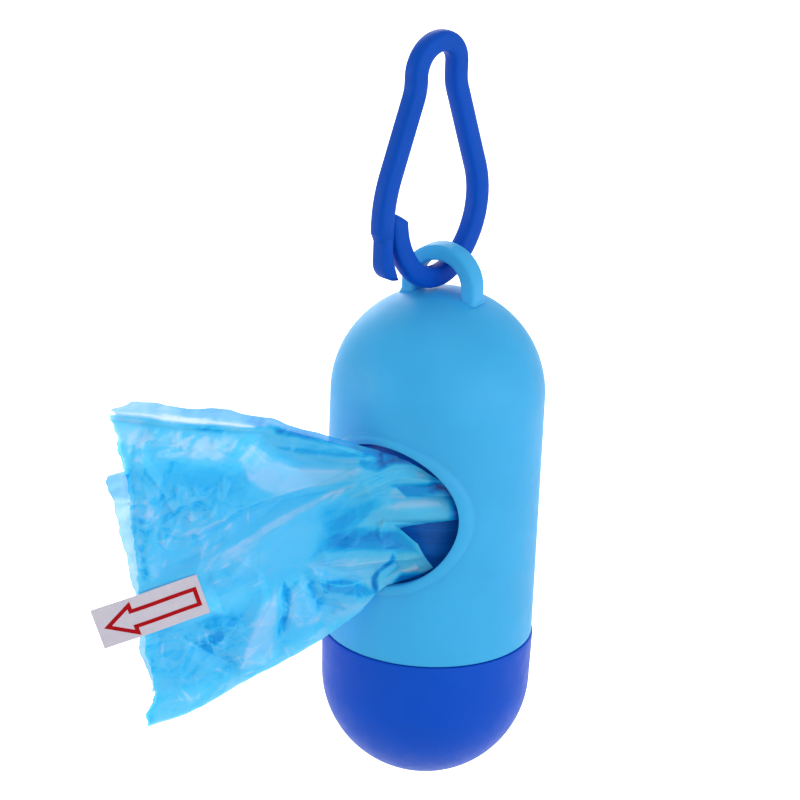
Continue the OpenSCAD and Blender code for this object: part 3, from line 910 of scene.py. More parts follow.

# The film's tone, from -1 to 1, the width of its edge, and its outline, each laid over the ones
# before. The tone is partly the film's own: dense where the plies cling and pale where they stand
# apart. It is partly painted light: painted reflections of the lamps on the folds and facets that
# face them, and painted shade on the sides that face away, under folds and down in the throat.
TONES = {
    "strip over the top edge": (-0.3, 1.0, [
        (43, 20.8), (36, 19.9), (30, 18.8), (22, 16.6), (14, 13.8), (13, 12.4), (22, 14.6),
        (30, 16.6), (43, 17.6)
    ]),
    "its lighter stretch": (-0.12, 1.0, [(44, 22), (27, 18.6), (24.5, 15), (30, 16.6), (43, 17.6)]),
    "its middle": (0.1, 1.0, [(48, 22), (36.6, 20.4), (34.6, 17), (48, 18.2)]),
    "its pale end": (0.45, 1.0, [
        (59, 23), (52, 22.6), (46.4, 21.6), (44.8, 18.8), (50, 19.5), (59, 20)
    ]),
    "lining over the top edge": (1.0, 0.4, [
        (58, 20.1), (50, 19.6), (44, 18.8), (38, 18), (33, 17.2), (33, 16.8), (38, 17.3),
        (45, 17.9), (51, 18.9), (58, 19.6)
    ]),
    "fold at the top of the back plies": (-0.6, 0.6, [(59, 9), (53.8, 9), (53.6, 4.6), (59, 4.6)]),
    "smooth dense area": (-0.15, 3.0, [
        (51, 9.5), (46, 11.3), (40, 10.6), (36, 9.4), (33, 5.5), (31.5, 3.6), (38, 2), (44, 5),
        (50, 6)
    ]),
    "pale corner": (0.45, 1.0, [(58, 20), (51.4, 18.8), (51.2, 14.6), (53.4, 13.6), (57, 15.6)]),
    "crumpled band": (0.32, 2.0, [
        (51, 17), (44, 17), (40, 16.2), (35.6, 15.4), (35, 12), (38, 10.4), (44, 11.6), (50, 12.4)
    ]),
    "pale facets in the band": (0.5, 1.0, [(47.4, 16.8), (45, 16.4), (43.4, 12.4), (46, 13)]),
    "more of them": (0.5, 1.0, [(43, 15.6), (37, 14.8), (38, 11), (42, 12)]),
    "line under the top edge": (-0.45, 0.8, [(46, 17.8), (39, 17.1), (36, 16), (41, 16.2)]),
    "pale flap": (0.62, 1.0, [
        (35.6, 11.2), (34.8, 13.4), (32.8, 14), (30, 11.6), (26.6, 9.9), (20, 9.4), (15, 9.2),
        (16, 7.6), (20, 6.8), (26, 5.4), (29.6, 4.8), (32, 6), (34.4, 8.4)
    ]),
    "band above the main fold": (0.0, 1.2, [
        (36, -1.6), (31, 1.4), (26, 3.9), (20, 6.3), (14, 8.5), (20, 5.4), (25, 2.9), (30, 0.2)
    ]),
    "light side of the main fold": (0.6, 0.5, [
        (41, -7.2), (35, -3.4), (30, 0.1), (25, 2.9), (20, 5.3), (13, 7.6), (20, 4.6), (25, 1.6),
        (30, -1.6), (35, -4.9), (40, -8)
    ]),
    "light fold by the label": (0.55, 1.6, [
        (31.4, -2.6), (36, -4.4), (41.4, -7.8), (41.2, -9.6), (37, -8), (32.6, -5.6)
    ]),
    "band under the main fold": (0.15, 3.0, [
        (38, -8), (30, -3), (24, 0.6), (24, -5), (31, -12), (38, -18)
    ]),
    "dense area by the hole": (-0.3, 3.0, [
        (21.4, 2.4), (12, 4.6), (11, -1), (17, -5.6), (22.4, -7), (21.6, -2)
    ]),
    "light top hem": (0.1, 0.8, [
        (34, 16.6), (28, 15.6), (20, 13.6), (17, 13.2), (20, 14.4), (30, 17.2)
    ]),
    "deep line in the hem": (-0.62, 0.9, [
        (31, 17.4), (26, 16.2), (20, 14.5), (13, 12.6), (20, 13.6), (25, 14.8), (29, 15.4)
    ]),
    "light line in the hem": (-0.05, 0.6, [
        (31, 15), (25, 14.1), (18, 12.9), (13, 12.5), (18, 12.2), (25, 13.4)
    ]),
    "deep band under the hem": (-0.55, 1.0, [
        (29, 13.4), (24, 12.9), (18, 12.3), (12, 12.4), (11, 11), (16, 11), (20, 11.4), (25, 12.2)
    ]),
    "light edge of the flap": (0.3, 0.7, [
        (26, 11.8), (20, 11), (14, 11), (14, 10.6), (20, 10), (27, 10.4)
    ]),
    "hollow over the throat fold": (-0.4, 0.6, [
        (15.5, 11), (12, 10.6), (10.6, 9.6), (12, 8.6), (14.4, 9), (15.6, 9.8)
    ]),
    "dark top of the throat": (-0.7, 1.0, [
        (14, 12.8), (9, 13), (4, 10.6), (5.6, 9.4), (9.6, 9.8), (12, 9.4), (12.6, 10.8)
    ]),
    "upper throat fold": (-0.05, 0.8, [
        (16, 6.6), (15, 7.8), (11.4, 8.9), (8, 9.8), (5.6, 9.2), (3.2, 8), (2.4, 7.4), (9, 7),
        (13, 6.2)
    ]),
    "its bright end": (0.5, 0.5, [(6, 8.4), (4.6, 8.2), (3.8, 7.5), (5.6, 7.5)]),
    "shade under it": (-0.5, 1.0, [(10, 6.2), (6, 6.4), (3, 6.6), (2.6, 4.4), (5, 3.9), (8, 4.2)]),
    "deep end of the shade": (-0.95, 1.6, [
        (3, 7), (0, 6), (-3, 2), (-3, -3), (-0.4, 0), (-0.2, 3), (1, 4.6), (3, 4.8)
    ]),
    "tube fold": (0.1, 0.8, [
        (13, 1.6), (10, 2.8), (6, 3.7), (2, 3.5), (0.6, 2.4), (0.4, 0.4), (5, -0.3), (10, -0.9),
        (15, -1.2)
    ]),
    "its crown": (0.6, 1.0, [
        (11.4, 2.2), (8, 3.4), (4, 3.6), (1.6, 3.1), (1.2, 2.2), (5, 2), (9, 1.7)
    ]),
    "tooth": (0.55, 0.3, [(10.6, 3.9), (9.9, 5.4), (9.2, 5.7), (7.2, 3.7)]),
    "shade under the tube": (-0.75, 0.8, [
        (9, -1.2), (5, -0.8), (0, -0.4), (0, -2.6), (5, -2.4), (8, -2)
    ]),
    "dense panel": (-0.46, 1.2, [
        (20, -2.6), (13, -1.8), (8, -2.1), (5.8, -4.2), (4.8, -6.4), (10, -6), (17, -5.4),
        (20, -4.4)
    ]),
    "ridge at the bottom": (0.15, 0.8, [
        (22, -5.8), (14, -6), (9, -5.9), (9, -6.6), (16, -7), (23, -7.8)
    ]),
    "lens": (0.5, 0.6, [
        (24, -7.8), (16, -6.9), (9.3, -6.4), (9.8, -7.6), (12, -9.2), (12.8, -10.6), (12.4, -12.4),
        (14, -11.4), (15.4, -10.8), (18, -10.6), (20, -11.2), (22, -9.8)
    ]),
    "pocket under the lens": (-0.4, 0.8, [
        (21.6, -11), (18, -10.8), (15.4, -11.2), (13, -12.6), (11.6, -13.6), (14, -14.4),
        (19, -13.2), (21, -13.4)
    ]),
    "gutter beside the lens": (-0.1, 1.0, [
        (24.6, -8.4), (22.6, -10.4), (21.6, -13.4), (20, -16), (16, -17), (22, -16.8), (23.6, -13)
    ]),
    "pale hem by the hole": (0.4, 1.2, [
        (20, -14.4), (15, -15), (12.4, -14.8), (14, -16.6), (19, -19), (22, -18)
    ]),
    "curl": (-0.55, 0.5, [
        (9.3, -6.2), (8.6, -7.2), (9.3, -8.3), (11.2, -9.6), (11.8, -11), (11.3, -13), (12, -13.8),
        (12.7, -12.6), (12.7, -10.6), (11.6, -9), (9.9, -7.6)
    ]),
    "lip of the curl": (0.35, 0.5, [
        (8.6, -7.2), (8, -9), (9.6, -10.6), (11.2, -11), (11.3, -13.4), (10.2, -12.4),
        (8.4, -10.6), (7.4, -9.2)
    ]),
    "facet in the curl": (0.65, 0.5, [(8, -9.6), (5.4, -8.4), (4, -9.5), (6.4, -9.9)]),
    "bottom of the throat": (-0.7, 0.8, [(8, -10.2), (4, -10), (2, -10), (3, -13), (9.4, -12.6)]),
    "small pale triangle": (0.55, 0.8, [
        (24.2, -10), (26.2, -13), (26.8, -17), (25, -19.6), (21.6, -18.8), (22.4, -15), (23.6, -13)
    ]),
    "crease between the triangles": (-0.12, 0.5, [
        (27.8, -10.8), (26.4, -12.6), (26.8, -16.6), (27.4, -20.4), (28.8, -20.6), (28.5, -17),
        (28.2, -13)
    ]),
    "large pale triangle": (0.6, 0.8, [
        (28.8, -11.2), (30.8, -15), (32.4, -18.4), (33.8, -22), (34.6, -27.6), (31.6, -27.6),
        (29.4, -25.4), (28.9, -20.5), (28.6, -17)
    ]),
    "dense area left of it": (-0.12, 2.5, [
        (40, -17), (35, -16), (33.4, -19), (34.8, -25), (39, -24), (44, -21)
    ]),
    "hem at the bottom": (0.4, 1.2, [
        (51, -34), (43, -31.4), (35, -27.6), (20, -19.4), (20, -22), (35, -31), (50, -39)
    ]),
    "strip by the lower free end": (-0.1, 1.0, [
        (52, -24), (49.4, -24), (48.6, -31), (49.4, -37), (52, -37)
    ]),
    "light strip by the free end": (0.3, 0.8, [(53.4, 4), (52.2, 4), (51.4, -10), (52.6, -10)]),
    "dense strip beside it": (-0.2, 0.8, [
        (52.2, 9), (50.9, 8), (50.8, -2), (50.2, -10), (51.4, -10), (52, 0)
    ]),
    "facets by the left edge": (0.3, 1.0, [
        (50.6, 2), (48.8, 4), (47.6, -3), (48.4, -9.6), (50, -9.6)
    ]),
}

# Short creases between the crinkled crest and the main fold
DASHES = [
    [(46, 7), (45.5, 5)], [(43.3, 6.6), (41.5, 3.8)], [(38.1, 8.1), (38.3, 4.9)],
    [(48, 5.4), (46, 1.4)], [(43.4, 2.2), (43.8, -0.5)], [(40.8, 0.6), (39.2, 3.6)],
    [(38.4, 1.8), (37.8, -0.3)], [(45.6, 0.6), (47, -3)], [(48.6, -1), (47.4, -5)],
    [(41.6, -0.6), (43, -3)], [(36, 14.6), (37.4, 12.2)], [(39.4, 15), (40.4, 12.4)],
    [(42.6, 14.6), (43.6, 12)], [(45.6, 16), (46.8, 13)], [(34.4, 8.6), (33.4, 6.6)],
]

# How many short crinkles are tried on a ply
STROKE_TRIES = 420

# The gap between two plies
PLY_GAP = 0.16

# The tones' places were read on a plane 0.8 mm in front of the roll. Film further out looks nearer
# to the roll and lower than it is, by these shares of its distance from that plane
READ_AT = 0.8
SIGHT_T, SIGHT_Y = 0.17, 0.36


def seeded_values(seed):
    return np.random.default_rng(seed).uniform(-1, 1, (64, 64))


def corner_values(p, q, seed):
    """The random values at a point's four neighbours on a square grid, and where it lies there."""
    values = seeded_values(seed)
    count = len(values)
    i, j = np.floor(p).astype(int), np.floor(q).astype(int)
    near_and_far = [
        values[(i + di) % count, (j + dj) % count] for di, dj in ((0, 0), (1, 0), (0, 1), (1, 1))
    ]
    return near_and_far, p - i, q - j


def wander(p, q, seed):
    """Smoothly varying values between about -1 and 1, one unit apart."""
    (a, b, c, d), u, v = corner_values(p, q, seed)
    u, v = u * u * (3 - 2 * u), v * v * (3 - 2 * v)
    return (a * (1 - u) + b * u) * (1 - v) + (c * (1 - u) + d * u) * v


def crumple_grid(t, y, size, seed, stretch, slant, warp):
    """Places counted in the cells of a slanted, stretched and warped triangle grid."""
    a = math.radians(slant)
    p = (t * math.cos(a) + y * math.sin(a)) / size
    q = (-t * math.sin(a) + y * math.cos(a)) / (size * stretch)
    p = p + warp * wander(p * 0.8 + 7, q * 0.8, seed + 1)
    q = q + warp * wander(p * 0.8, q * 0.8 + 5, seed + 2)
    return p + q * 0.5, q


def facets(t, y, size, seed, stretch=1.0, slant=0.0):
    """Crumpled film: flat facets on a warped triangle grid, which meet in sharp creases."""
    p, q = crumple_grid(t, y, size, seed, stretch, slant, 0.5)
    (a, b, c, d), u, v = corner_values(p, q, seed)
    low = a + u * (b - a) + v * (c - a)
    high = d + (1 - u) * (c - d) + (1 - v) * (b - d)
    return np.where(u + v < 1, low, high)


def planes(t, y, size, seed, stretch, slant):
    """One value for each small plane of the crumpled film, on a grid like that of its facets."""
    p, q = crumple_grid(t, y, size, seed, stretch, slant, 0.6)
    i, j = np.floor(p).astype(int), np.floor(q).astype(int)
    values = seeded_values(seed)
    count = len(values)
    low, high = values[i % count, j % count], values[(i + 31) % count, (j + 17) % count]
    return np.where(p - i + q - j < 1, low, high)


def strokes(t, y, seed):
    """Short straight crinkles where the film is crumpled, painted into the tone: most as painted
    highlights, some as painted shade.
    """
    rng = np.random.default_rng(seed)
    tone = np.zeros(t.shape)
    for _ in range(STROKE_TRIES):
        middle = rng.uniform((13, -34), (54, 18))
        keep, lean, long, wide, light = rng.uniform(
            (0.3, -1, 1.4, 0.2, 0), (1.4, 1, 4.8, 0.42, 1)
        )
        if keep > crumpled(*middle):
            continue
        lean = math.radians(28 + 34 * lean if middle[1] > -6 else 80 * lean)
        half = np.array([-math.sin(lean), math.cos(lean)]) * long / 2
        height = 0.14 + 0.4 * light if light > 0.25 else -0.24
        line = [middle - half, middle + half]
        tone = tone + crease(t, y, line, height, wide, wide * 1.7, fade=0.3)
    return tone


def crease(t, y, line, height, above, below, fade=0.18):
    """A fold along a line, falling straight off to each side and dying away at its ends."""
    line = np.asarray(line, float)
    distance = np.full(t.shape, 1e9)
    width = np.full(t.shape, above)
    share = np.zeros(t.shape)
    lengths = np.linalg.norm(np.diff(line, axis=0), axis=1)
    done = 0.0
    for start, end, length in zip(line, line[1:], lengths):
        along = (end - start) / length
        s = np.clip((t - start[0]) * along[0] + (y - start[1]) * along[1], 0, length)
        dt, dy = t - (start[0] + s * along[0]), y - (start[1] + s * along[1])
        here = np.hypot(dt, dy)
        nearer = here < distance
        distance = np.where(nearer, here, distance)
        upper = along[0] * dy - along[1] * dt >= 0
        width = np.where(nearer, np.where(upper, above, below), width)
        share = np.where(nearer, (done + s) / lengths.sum(), share)
        done += length
    ends = np.clip(np.minimum(share, 1 - share) / fade, 0, 1)
    width = width * (0.3 + 0.7 * ends)
    return height * np.clip(1 - distance / width, 0, 1) * (0.1 + 0.9 * ends)


def inside(t, y, corners, edge):
    """One inside an outline and nothing outside it, with an edge of the given width."""
    corners = np.asarray(corners, float)
    distance = np.full(t.shape, 1e9)
    within = np.zeros(t.shape, bool)
    for start, end in zip(corners, np.roll(corners, -1, 0)):
        side = end - start
        s = np.clip(((t - start[0]) * side[0] + (y - start[1]) * side[1]) / (side @ side), 0, 1)
        away = np.hypot(t - start[0] - s * side[0], y - start[1] - s * side[1])
        distance = np.minimum(distance, away)
        if side[1]:
            crossing = start[0] + (y - start[1]) * side[0] / side[1]
            within ^= ((start[1] > y) != (end[1] > y)) & (t < crossing)
    return np.clip(0.5 + np.where(within, distance, -distance) / edge, 0, 1)


def patch(t, y, centre, size):
    """One at the centre, and nothing from one size away."""
    r = np.hypot((t - centre[0]) / size[0], (y - centre[1]) / size[1])
    return np.clip(1.5 - 1.5 * r, 0, 1)


# Where the label lies: its centre on the film, its size, its fall towards the free end
LABEL_AT = (50.2, -14.7)
LABEL_SIZE = (18.6, 7.4)
LABEL_SLOPE = 18.8
LABEL_LIFT = 2.2
LABEL_THICK = 0.14


def label_axes(t, y):
    """Distances along the label towards the free end, and across it upwards."""
    s = math.radians(LABEL_SLOPE)
    t, y = t - LABEL_AT[0], y - LABEL_AT[1]
    return t * math.cos(s) - y * math.sin(s), t * math.sin(s) + y * math.cos(s)


def under_label(t, y):
    """One under the label and nothing 2 mm away from it."""
    a, b = label_axes(t, y)
    beyond = np.maximum(abs(a) - LABEL_SIZE[0] / 2, abs(b) - LABEL_SIZE[1] / 2)
    return np.clip(1 - beyond / 2, 0, 1)


def crumpled(t, y):
    """How crumpled the film is, from its smooth parts to the bands full of creases."""
    amount = (
        0.5
        + 0.9 * patch(t, y, (45, 1), (11, 9))
        + 0.8 * patch(t, y, (43, 14), (15, 4))
        + 0.5 * patch(t, y, (52, 0), (5, 20))
        + 0.6 * patch(t, y, (42, -24), (13, 10))
        - 0.35 * patch(t, y, (25, -4), (9, 8))
        - 0.3 * patch(t, y, (26, 8), (9, 4))
        - 0.4 * patch(t, y, (42, 8), (8, 3))
    )
    return amount * np.clip((t - 4) / 14, 0.15, 1)


def film_height(t, y, seed):
    """How far the film stands out of its plane."""
    h = sum(crease(t, y, *fold) for fold in FOLDS.values())
    for dash in DASHES:
        h = h + crease(t, y, dash, 0.5, 0.9, 1.6, fade=0.5)
    # The tube-like fold in the middle of the throat
    away = np.abs(y - 1.3 - 0.06 * t) / 2.5
    h = h + 1.5 * np.clip(1 - away**2, 0, 1) * np.clip((15 - t) / 8, 0, 1)
    amount = crumpled(t, y)
    h = h + np.clip((t - 10) / 20, 0, 1) * 0.8 * facets(t, y, 14, seed)
    h = h + amount * 0.62 * facets(t, y, 5.5, seed + 10, 1.6, 25)
    h = h + amount * 0.36 * facets(t, y, 2.7, seed + 20, 1.8, 30)
    h = h + amount * 0.15 * facets(t, y, 1.3, seed + 30, 1.5, -20)
    pad = under_label(t, y)
    return h * (1 - pad) + (LABEL_LIFT - 0.5) * pad


def film_tone(t, y, h, seed):
    """Dense where the plies cling and pale where they stand apart, with painted light: painted
    reflections on the facets and crests, painted shade on the sides that face away and in the
    valleys.
    """
    seen_t, seen_y = t - SIGHT_T * (h - READ_AT), y - SIGHT_Y * (h - READ_AT)
    tone = np.full(t.shape, 0.13)
    for value, edge, corners in TONES.values():
        share = inside(seen_t, seen_y, corners, edge)
        tone = tone * (1 - share) + value * share
    bend = np.zeros(h.shape)
    for axis in (0, 1):
        gap = np.hypot(np.gradient(t, axis=axis), np.gradient(y, axis=axis))
        slope = np.gradient(h, axis=axis) / np.maximum(gap, 0.05)
        bend -= np.gradient(slope, axis=axis)
    amount = crumpled(t, y)
    # Painted sheen: the small planes of the crumpled film each lighter or darker, as if they caught
    # the lamps or not.
    tone = tone + amount * 0.2 * planes(t, y, 4.2, seed + 40, 1.8, 28)
    tone = tone + amount * 0.19 * planes(t, y, 1.9, seed + 50, 1.8, 34)
    tone = tone + strokes(t, y, seed + 60)
    # Painted highlight along the creases' crests and painted shade in their valleys.
    return tone + np.clip(bend * 0.4, -0.2, 0.3)


def film_floor(t):
    """The lowest the innermost ply may lie, clear of the roll, the hole's edge and the body."""
    return np.interp(
        t,
        [-8, 0, 7, 9.5, 11.4, 12.6, 14, 16, 30],
        [-0.35, -0.35, -0.9, -0.2, 0.4, -0.2, -1.4, -3, -5],
    )


def film_place(t, y, h):
    """Places on the film: t along it from the roll, y above the hole's centre, h out of its plane.

    Where t is below nothing the film follows the roll round.
    """
    turn = np.minimum(t, 0) / FILM_OFF
    reach = FILM_OFF + h
    along = np.maximum(t, 0) + reach * np.sin(turn)
    points = along[..., None] * film_along + (reach * np.cos(turn))[..., None] * film_out
    points[..., 2] += HOLE_Z + y
    return points


# Where the film leaves the roll and where it leaves the hole's mouth, as distances along it.
# Between them the film stretches when the bag is pulled; nothing here moves it.
ROLL_T = 0.0
HOLE_T = 13.0


def film_ply(name, top, low, free, start, lift, order, seed, material, step=0.45):
    """One ply of the folded bag, between its top and low edges, from its start to its free end.

    start gives the distance from the roll by share of the height. order counts from the innermost
    ply, so that the plies stay apart where they are gathered.
    """
    top, low, free, start = (np.asarray(edge, float) for edge in (top, low, free, start))
    lowest = np.interp(free[:, 0], low[:, 0], low[:, 1])
    highest = np.interp(free[:, 0], top[:, 0], top[:, 1])
    shares = np.clip((free[:, 1] - lowest) / (highest - lowest), 0, 1)
    rise = np.argsort(shares)
    tall = np.ptp(np.concatenate([free[:, 1], top[-1:, 1], low[-1:, 1]]))
    rows, columns = max(8, round(tall / step)), round(60 / step)
    v = np.linspace(0, 1, rows + 1)[:, None]
    u = np.linspace(0, 1, columns + 1)[None, :]
    tear = 0.16 * wander(v * tall * 0.9, v * 0 + seed, seed) + 0.14 * wander(
        v * tall * 2.3, v * 0, seed + 1
    )
    reach = np.interp(v, shares[rise], free[rise, 0]) + tear
    begin = np.interp(v, start[:, 0], start[:, 1])
    t = begin + (reach - begin) * u
    waver = 0.2 * np.clip((t - 14) / 12, 0, 1)
    ceiling = np.interp(t, top[:, 0], top[:, 1]) + waver * wander(t * 0.4, t * 0, seed + 2)
    floor = np.interp(t, low[:, 0], low[:, 1]) + waver * wander(t * 0.35, t * 0, seed + 3)
    y = floor + (ceiling - floor) * v
    h = film_height(t, y, seed)
    # Narrow pleats gather the film in the hole
    pleats = np.sin(y * 1.9 + 0.3 * t) * 0.12 * np.clip(1 - t / 22, 0, 1)
    h = h + pleats + PLY_GAP * order + lift * np.clip((t - 9) / 25, 0, 1)
    h = np.maximum(h, film_floor(t) + PLY_GAP * order)
    # Seen from above, a ply that stands out looks lower, so its upper part is set higher
    y = y + SIGHT_Y * (lift + 1) * v * np.clip((t - 12) / 15, 0, 1)
    points = film_place(t, y, h)
    faces = grid_faces(rows + 1, columns + 1)
    ply = piece_from(name, points.reshape(-1, 3), faces, material, DOME)
    # The tone mark holds the film's density and its painted highlights and painted shade.
    mark = ply.data.attributes.new("tone", "FLOAT", "POINT")
    mark.data.foreach_set("value", film_tone(t, y, h, seed).ravel().astype(np.float32))
    smooth(ply, 180)
    # The places where the film leaves the roll and the hole's mouth; nothing uses them
    on_roll, out_of_hole = (
        DOME + Vector(film_place(np.array(far), np.array(0.0), np.array(0.0))) * MM
        for far in (ROLL_T, HOLE_T)
    )
    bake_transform(ply)
    return ply


ROLL_START = [(0, 2.2), (0.3, 5), (0.44, 8.2), (0.5, 3.5), (0.54, -2), (0.6, -8), (1, -8)]
TUCKED_START = [(0, 7), (0.3, 8.5), (0.44, 10), (0.5, 7), (0.56, -2), (1, -6)]
HIDDEN_START = [(0, 9), (1, 9)]

front = film_ply(
    "bag_ply_front", FRONT_TOP, FRONT_LOW, FRONT_END, ROLL_START, 0.7, 3, 100, front_film,
    step=0.24,
)
film_ply(
    "bag_ply_second",
    [(t, y - 0.3) for t, y in FRONT_TOP],
    FRONT_LOW,
    [(t - 0.5 + 0.3 * math.sin(y), y) for t, y in FRONT_END],
    TUCKED_START, 0.2, 2, 100, front_film, step=0.6,
)
film_ply(
    "bag_ply_upper",
    [(8, 10.6), (11.4, 11.9), (15.2, 13.1), (18.2, 14.1), (23.6, 15.7), (29.9, 17.8),
     (37.2, 19.4), (44, 20.0), (49, 21.0), (58, 21.6)],
    [(8, 2), (20, 4), (28, 11), (32.5, 16), (39, 16.4), (46, 17), (58, 19)],
    [(56, 19.6), (57.2, 20.4), (54.4, 20.7), (53.2, 21.3)],
    HIDDEN_START, 0.1, 1, 100, upper_film,
)
film_ply(
    "bag_ply_middle",
    [(8, 5), (20, 8), (40, 9.4), (54.6, 8.6), (58, 7.9)],
    [(8, -5), (20, -9), (38, -13), (58, -12.9)],
    [(57.3, 7.9), (57.3, 6.1), (56.1, 3.5), (55.4, -0.6), (55, -3.1), (54, -6.1), (53.6, -8.7),
     (53, -11.6), (52.4, -12.8)],
    HIDDEN_START, -0.8, 0, 100, back_film,
)
film_ply(
    "bag_ply_lower",
    [(8, -6), (30, -15), (52, -18)],
    [(8, -11), (20, -19), (35, -27), (50, -32)],
    [(52, -18.4), (51.9, -20), (51.7, -21.5), (52, -23), (51.4, -25), (50.6, -27), (49.6, -29.5)],
    HIDDEN_START, -0.8, 0, 100, back_film,
)
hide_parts("bag_01_leading")


# --- Label with its printed arrow


def label_point(a, b, lift=0.0):
    """A place on the label, a along it towards the free end and b across it upwards."""
    s = math.radians(LABEL_SLOPE)
    t = LABEL_AT[0] + a * math.cos(s) + b * math.sin(s)
    y = LABEL_AT[1] - a * math.sin(s) + b * math.cos(s)
    # It bows a little with the film and lifts where it overhangs the free end
    bow = 0.2 * math.sin(a * 0.33 + 0.9) + 0.35 * max(0.0, (a - 2) / 8) ** 2
    h = LABEL_LIFT + 1.05 + bow + lift
    return film_place(np.array(t), np.array(y), np.array(h))


def label_sheet():
    long, wide = LABEL_SIZE
    rows, columns = 48, 16
    points = [
        label_point(long * (i / rows - 0.5), wide * (j / columns - 0.5), layer)
        for layer in (0.0, LABEL_THICK)
        for i in range(rows + 1)
        for j in range(columns + 1)
    ]
    half = (rows + 1) * (columns + 1)
    top = grid_faces(rows + 1, columns + 1)
    faces = top + [tuple(v + half for v in face[::-1]) for face in top]
    border = [i * (columns + 1) for i in range(rows)]
    border += [rows * (columns + 1) + j for j in range(columns)]
    border += [i * (columns + 1) + columns for i in range(rows, 0, -1)]
    border += list(range(columns, 0, -1))
    for a, b in zip(border, border[1:] + border[:1]):
        faces.append((a, b, b + half, a + half))
    return close_and_smooth(piece_from("label", points, faces, label_paper, DOME), 40)


def moved_in(corners, distance):
    """A closed outline, counter-clockwise, moved inwards with its sides kept parallel."""
    moved = []
    for k, corner in enumerate(corners):
        before, after = corner - corners[k - 1], corners[(k + 1) % len(corners)] - corner
        before, after = before / np.linalg.norm(before), after / np.linalg.norm(after)
        inwards = np.array([-before[1] - after[1], before[0] + after[0]])
        moved.append(corner + inwards * distance * 2 / (inwards @ inwards))
    return moved


def printed_arrow():
    """A plain hollow arrow that points to the free end, in ink of its own thickness."""
    tip, head, tail = 8.2, 2.7, -8.5
    half_head, half_shaft, line, steps = 3.25, 1.8, 0.72, 16
    corners = [
        np.array(corner, float)
        for corner in (
            (tip, 0), (head, half_head), (head, half_shaft), (tail, half_shaft),
            (tail, -half_shaft), (head, -half_shaft), (head, -half_head),
        )
    ]
    inner = moved_in(corners, line)
    points, faces = [], []
    for k in range(len(corners)):
        for s in range(steps + 1):
            for start, end in ((corners[k - 1], corners[k]), (inner[k - 1], inner[k])):
                spot = start + (end - start) * s / steps
                points.append(label_point(spot[0], spot[1] - 0.15, LABEL_THICK + 0.015))
            if s:
                n = len(points)
                faces.append((n - 4, n - 2, n - 1, n - 3))
    ink = piece_from("label_arrow", points, faces, red_ink, DOME)
    bm = bmesh.new()
    bm.from_mesh(ink.data)
    bmesh.ops.remove_doubles(bm, verts=bm.verts, dist=WELD)
    for face in bm.faces:
        if face.normal.dot(film_out) < 0:
            face.normal_flip()
    bm.to_mesh(ink.data)
    bm.free()
    return ink


label = label_sheet()
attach(label, "leading_bag")
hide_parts("pull_label")
arrow = printed_arrow()
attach(arrow, "leading_bag")


# --- Floor, light and camera

# The camera as fitted to the photograph: its place from the dome's centre in millimetres, its
# heading, pitch and roll in degrees, and its focal length for a sensor 36 mm wide
EYE = (204.48, -376.60, 154.11)
EYE_HEADING, EYE_PITCH, EYE_ROLL = 119.36, -20.0, 2.29
FOCAL_LENGTH = 119.09

# In metres
LAMP_AWAY = 1.3
LAMP_SIZE = 1.0
FLOOR_REACH = 6.0
FLOOR_DROP = 0.08


def direction(heading, height):
    """A unit vector by its heading and its height in degrees."""
    level, up = math.radians(heading), math.radians(height)
    return Vector((math.cos(level) * math.cos(up), math.sin(level) * math.cos(up), math.sin(up)))


def place_camera():
    roll = math.radians(EYE_ROLL)
    forward = direction(EYE_HEADING, EYE_PITCH)
    right = forward.cross(Vector((0, 0, 1))).normalized()
    up = right.cross(forward)
    across = right * math.cos(roll) + up * math.sin(roll)
    upright = up * math.cos(roll) - right * math.sin(roll)
    turned = Matrix((across, upright, -forward)).transposed().to_4x4()
    lens = bpy.data.cameras.new("camera")
    lens.sensor_width = 36
    lens.lens = FOCAL_LENGTH
    lens.clip_start = 0.01
    camera = linked("camera", lens)
    camera.matrix_world = Matrix.Translation(DOME + Vector(EYE) * MM) @ turned
    bpy.context.scene.camera = camera


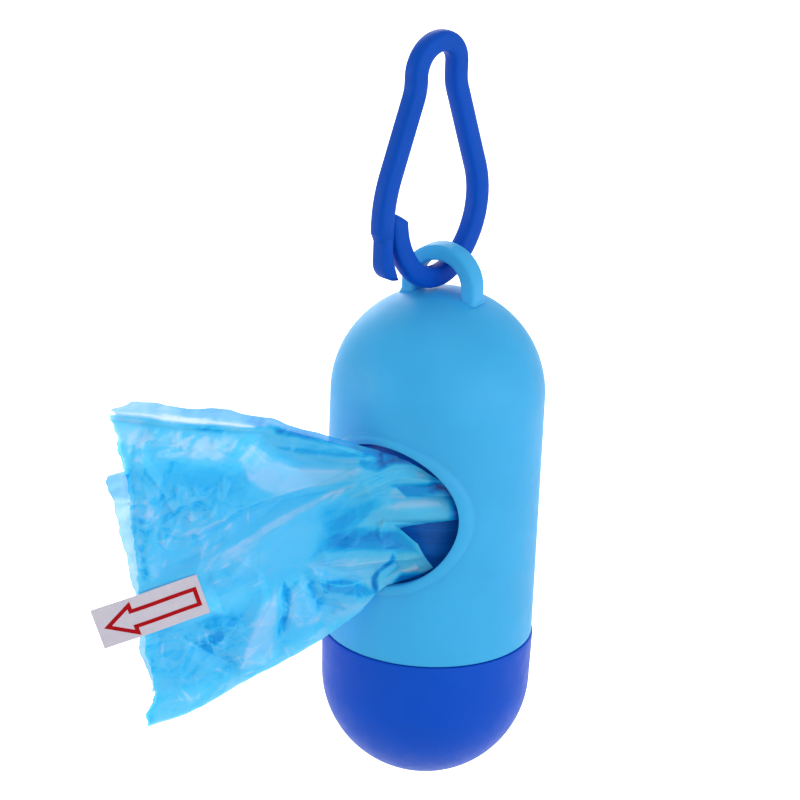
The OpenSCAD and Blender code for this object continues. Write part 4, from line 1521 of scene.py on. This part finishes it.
def soft_lamp(name, heading, height, brightness):
    """A round softbox that faces the capsule's hole, by its heading, height and radiance."""
    towards = direction(heading, height)
    data = bpy.data.lights.new(name, "AREA")
    data.shape = "DISK"
    data.size = LAMP_SIZE
    data.energy = brightness * math.pi * math.pi * LAMP_SIZE * LAMP_SIZE / 4
    lamp = linked(name, data)
    lamp.location = DOME + Vector((0, 0, HOLE_Z * MM)) + towards * LAMP_AWAY
    lamp.rotation_euler = towards.to_track_quat("Z", "Y").to_euler()


def seen_directly(tree):
    """One for what the camera sees, also reflected or through the film, and otherwise nothing."""
    path = add_node(tree, "ShaderNodeLightPath").outputs
    seen = path["Is Camera Ray"]
    for label in ("Is Glossy Ray", "Is Transmission Ray"):
        inputs = {0: seen, 1: path[label]}
        seen = add_node(tree, "ShaderNodeMath", inputs, operation="MAXIMUM").outputs["Value"]
    return seen


def pale_floor():
    """A pale floor well below the hanging capsule. It shows near white and keeps its shadow."""
    z = cad_box[0][2] - FLOOR_DROP
    reach = FLOOR_REACH
    corners = [(-reach, -reach, z), (reach, -reach, z), (reach, reach, z), (-reach, reach, z)]
    mesh = bpy.data.meshes.new("floor")
    mesh.from_pydata(corners, [], [(0, 1, 2, 3)])
    floor = linked("floor", mesh)
    finish = Finish("pale_floor")
    finish.set(Base_Color=(0.82, 0.82, 0.82, 1), Roughness=0.9, Specular_IOR_Level=0.1)
    inputs = {"Color": (1, 1, 1, 1), "Strength": seen_directly(finish.tree)}
    glow = finish.add("ShaderNodeEmission", inputs).outputs["Emission"]
    inputs = {0: finish.shader.outputs["BSDF"], 1: glow}
    finish.shows(finish.add("ShaderNodeAddShader", inputs).outputs["Shader"])
    mesh.materials.append(finish.material)


def studio():
    scene = bpy.context.scene
    scene.view_settings.view_transform = "Standard"
    world = scene.world or bpy.data.worlds.new("studio")
    scene.world = world
    world.use_nodes = True
    tree = world.node_tree
    background = tree.nodes["Background"].inputs
    background["Color"].default_value = (1, 1, 1, 1)
    inputs = {"Value": seen_directly(tree), "To Min": 0.5, "To Max": 1.0}
    strength = add_node(tree, "ShaderNodeMapRange", inputs).outputs["Result"]
    tree.links.new(strength, background["Strength"])
    soft_lamp("right_softbox", 10, 0, 2.2)
    soft_lamp("front_softbox", -28, 18, 1.4)
    soft_lamp("top_softbox", -60, 65, 0.7)
    soft_lamp("left_softbox", 216, -4, 3.0)
    soft_lamp("back_softbox", 135, 20, 3.2)


place_camera()
pale_floor()
studio()
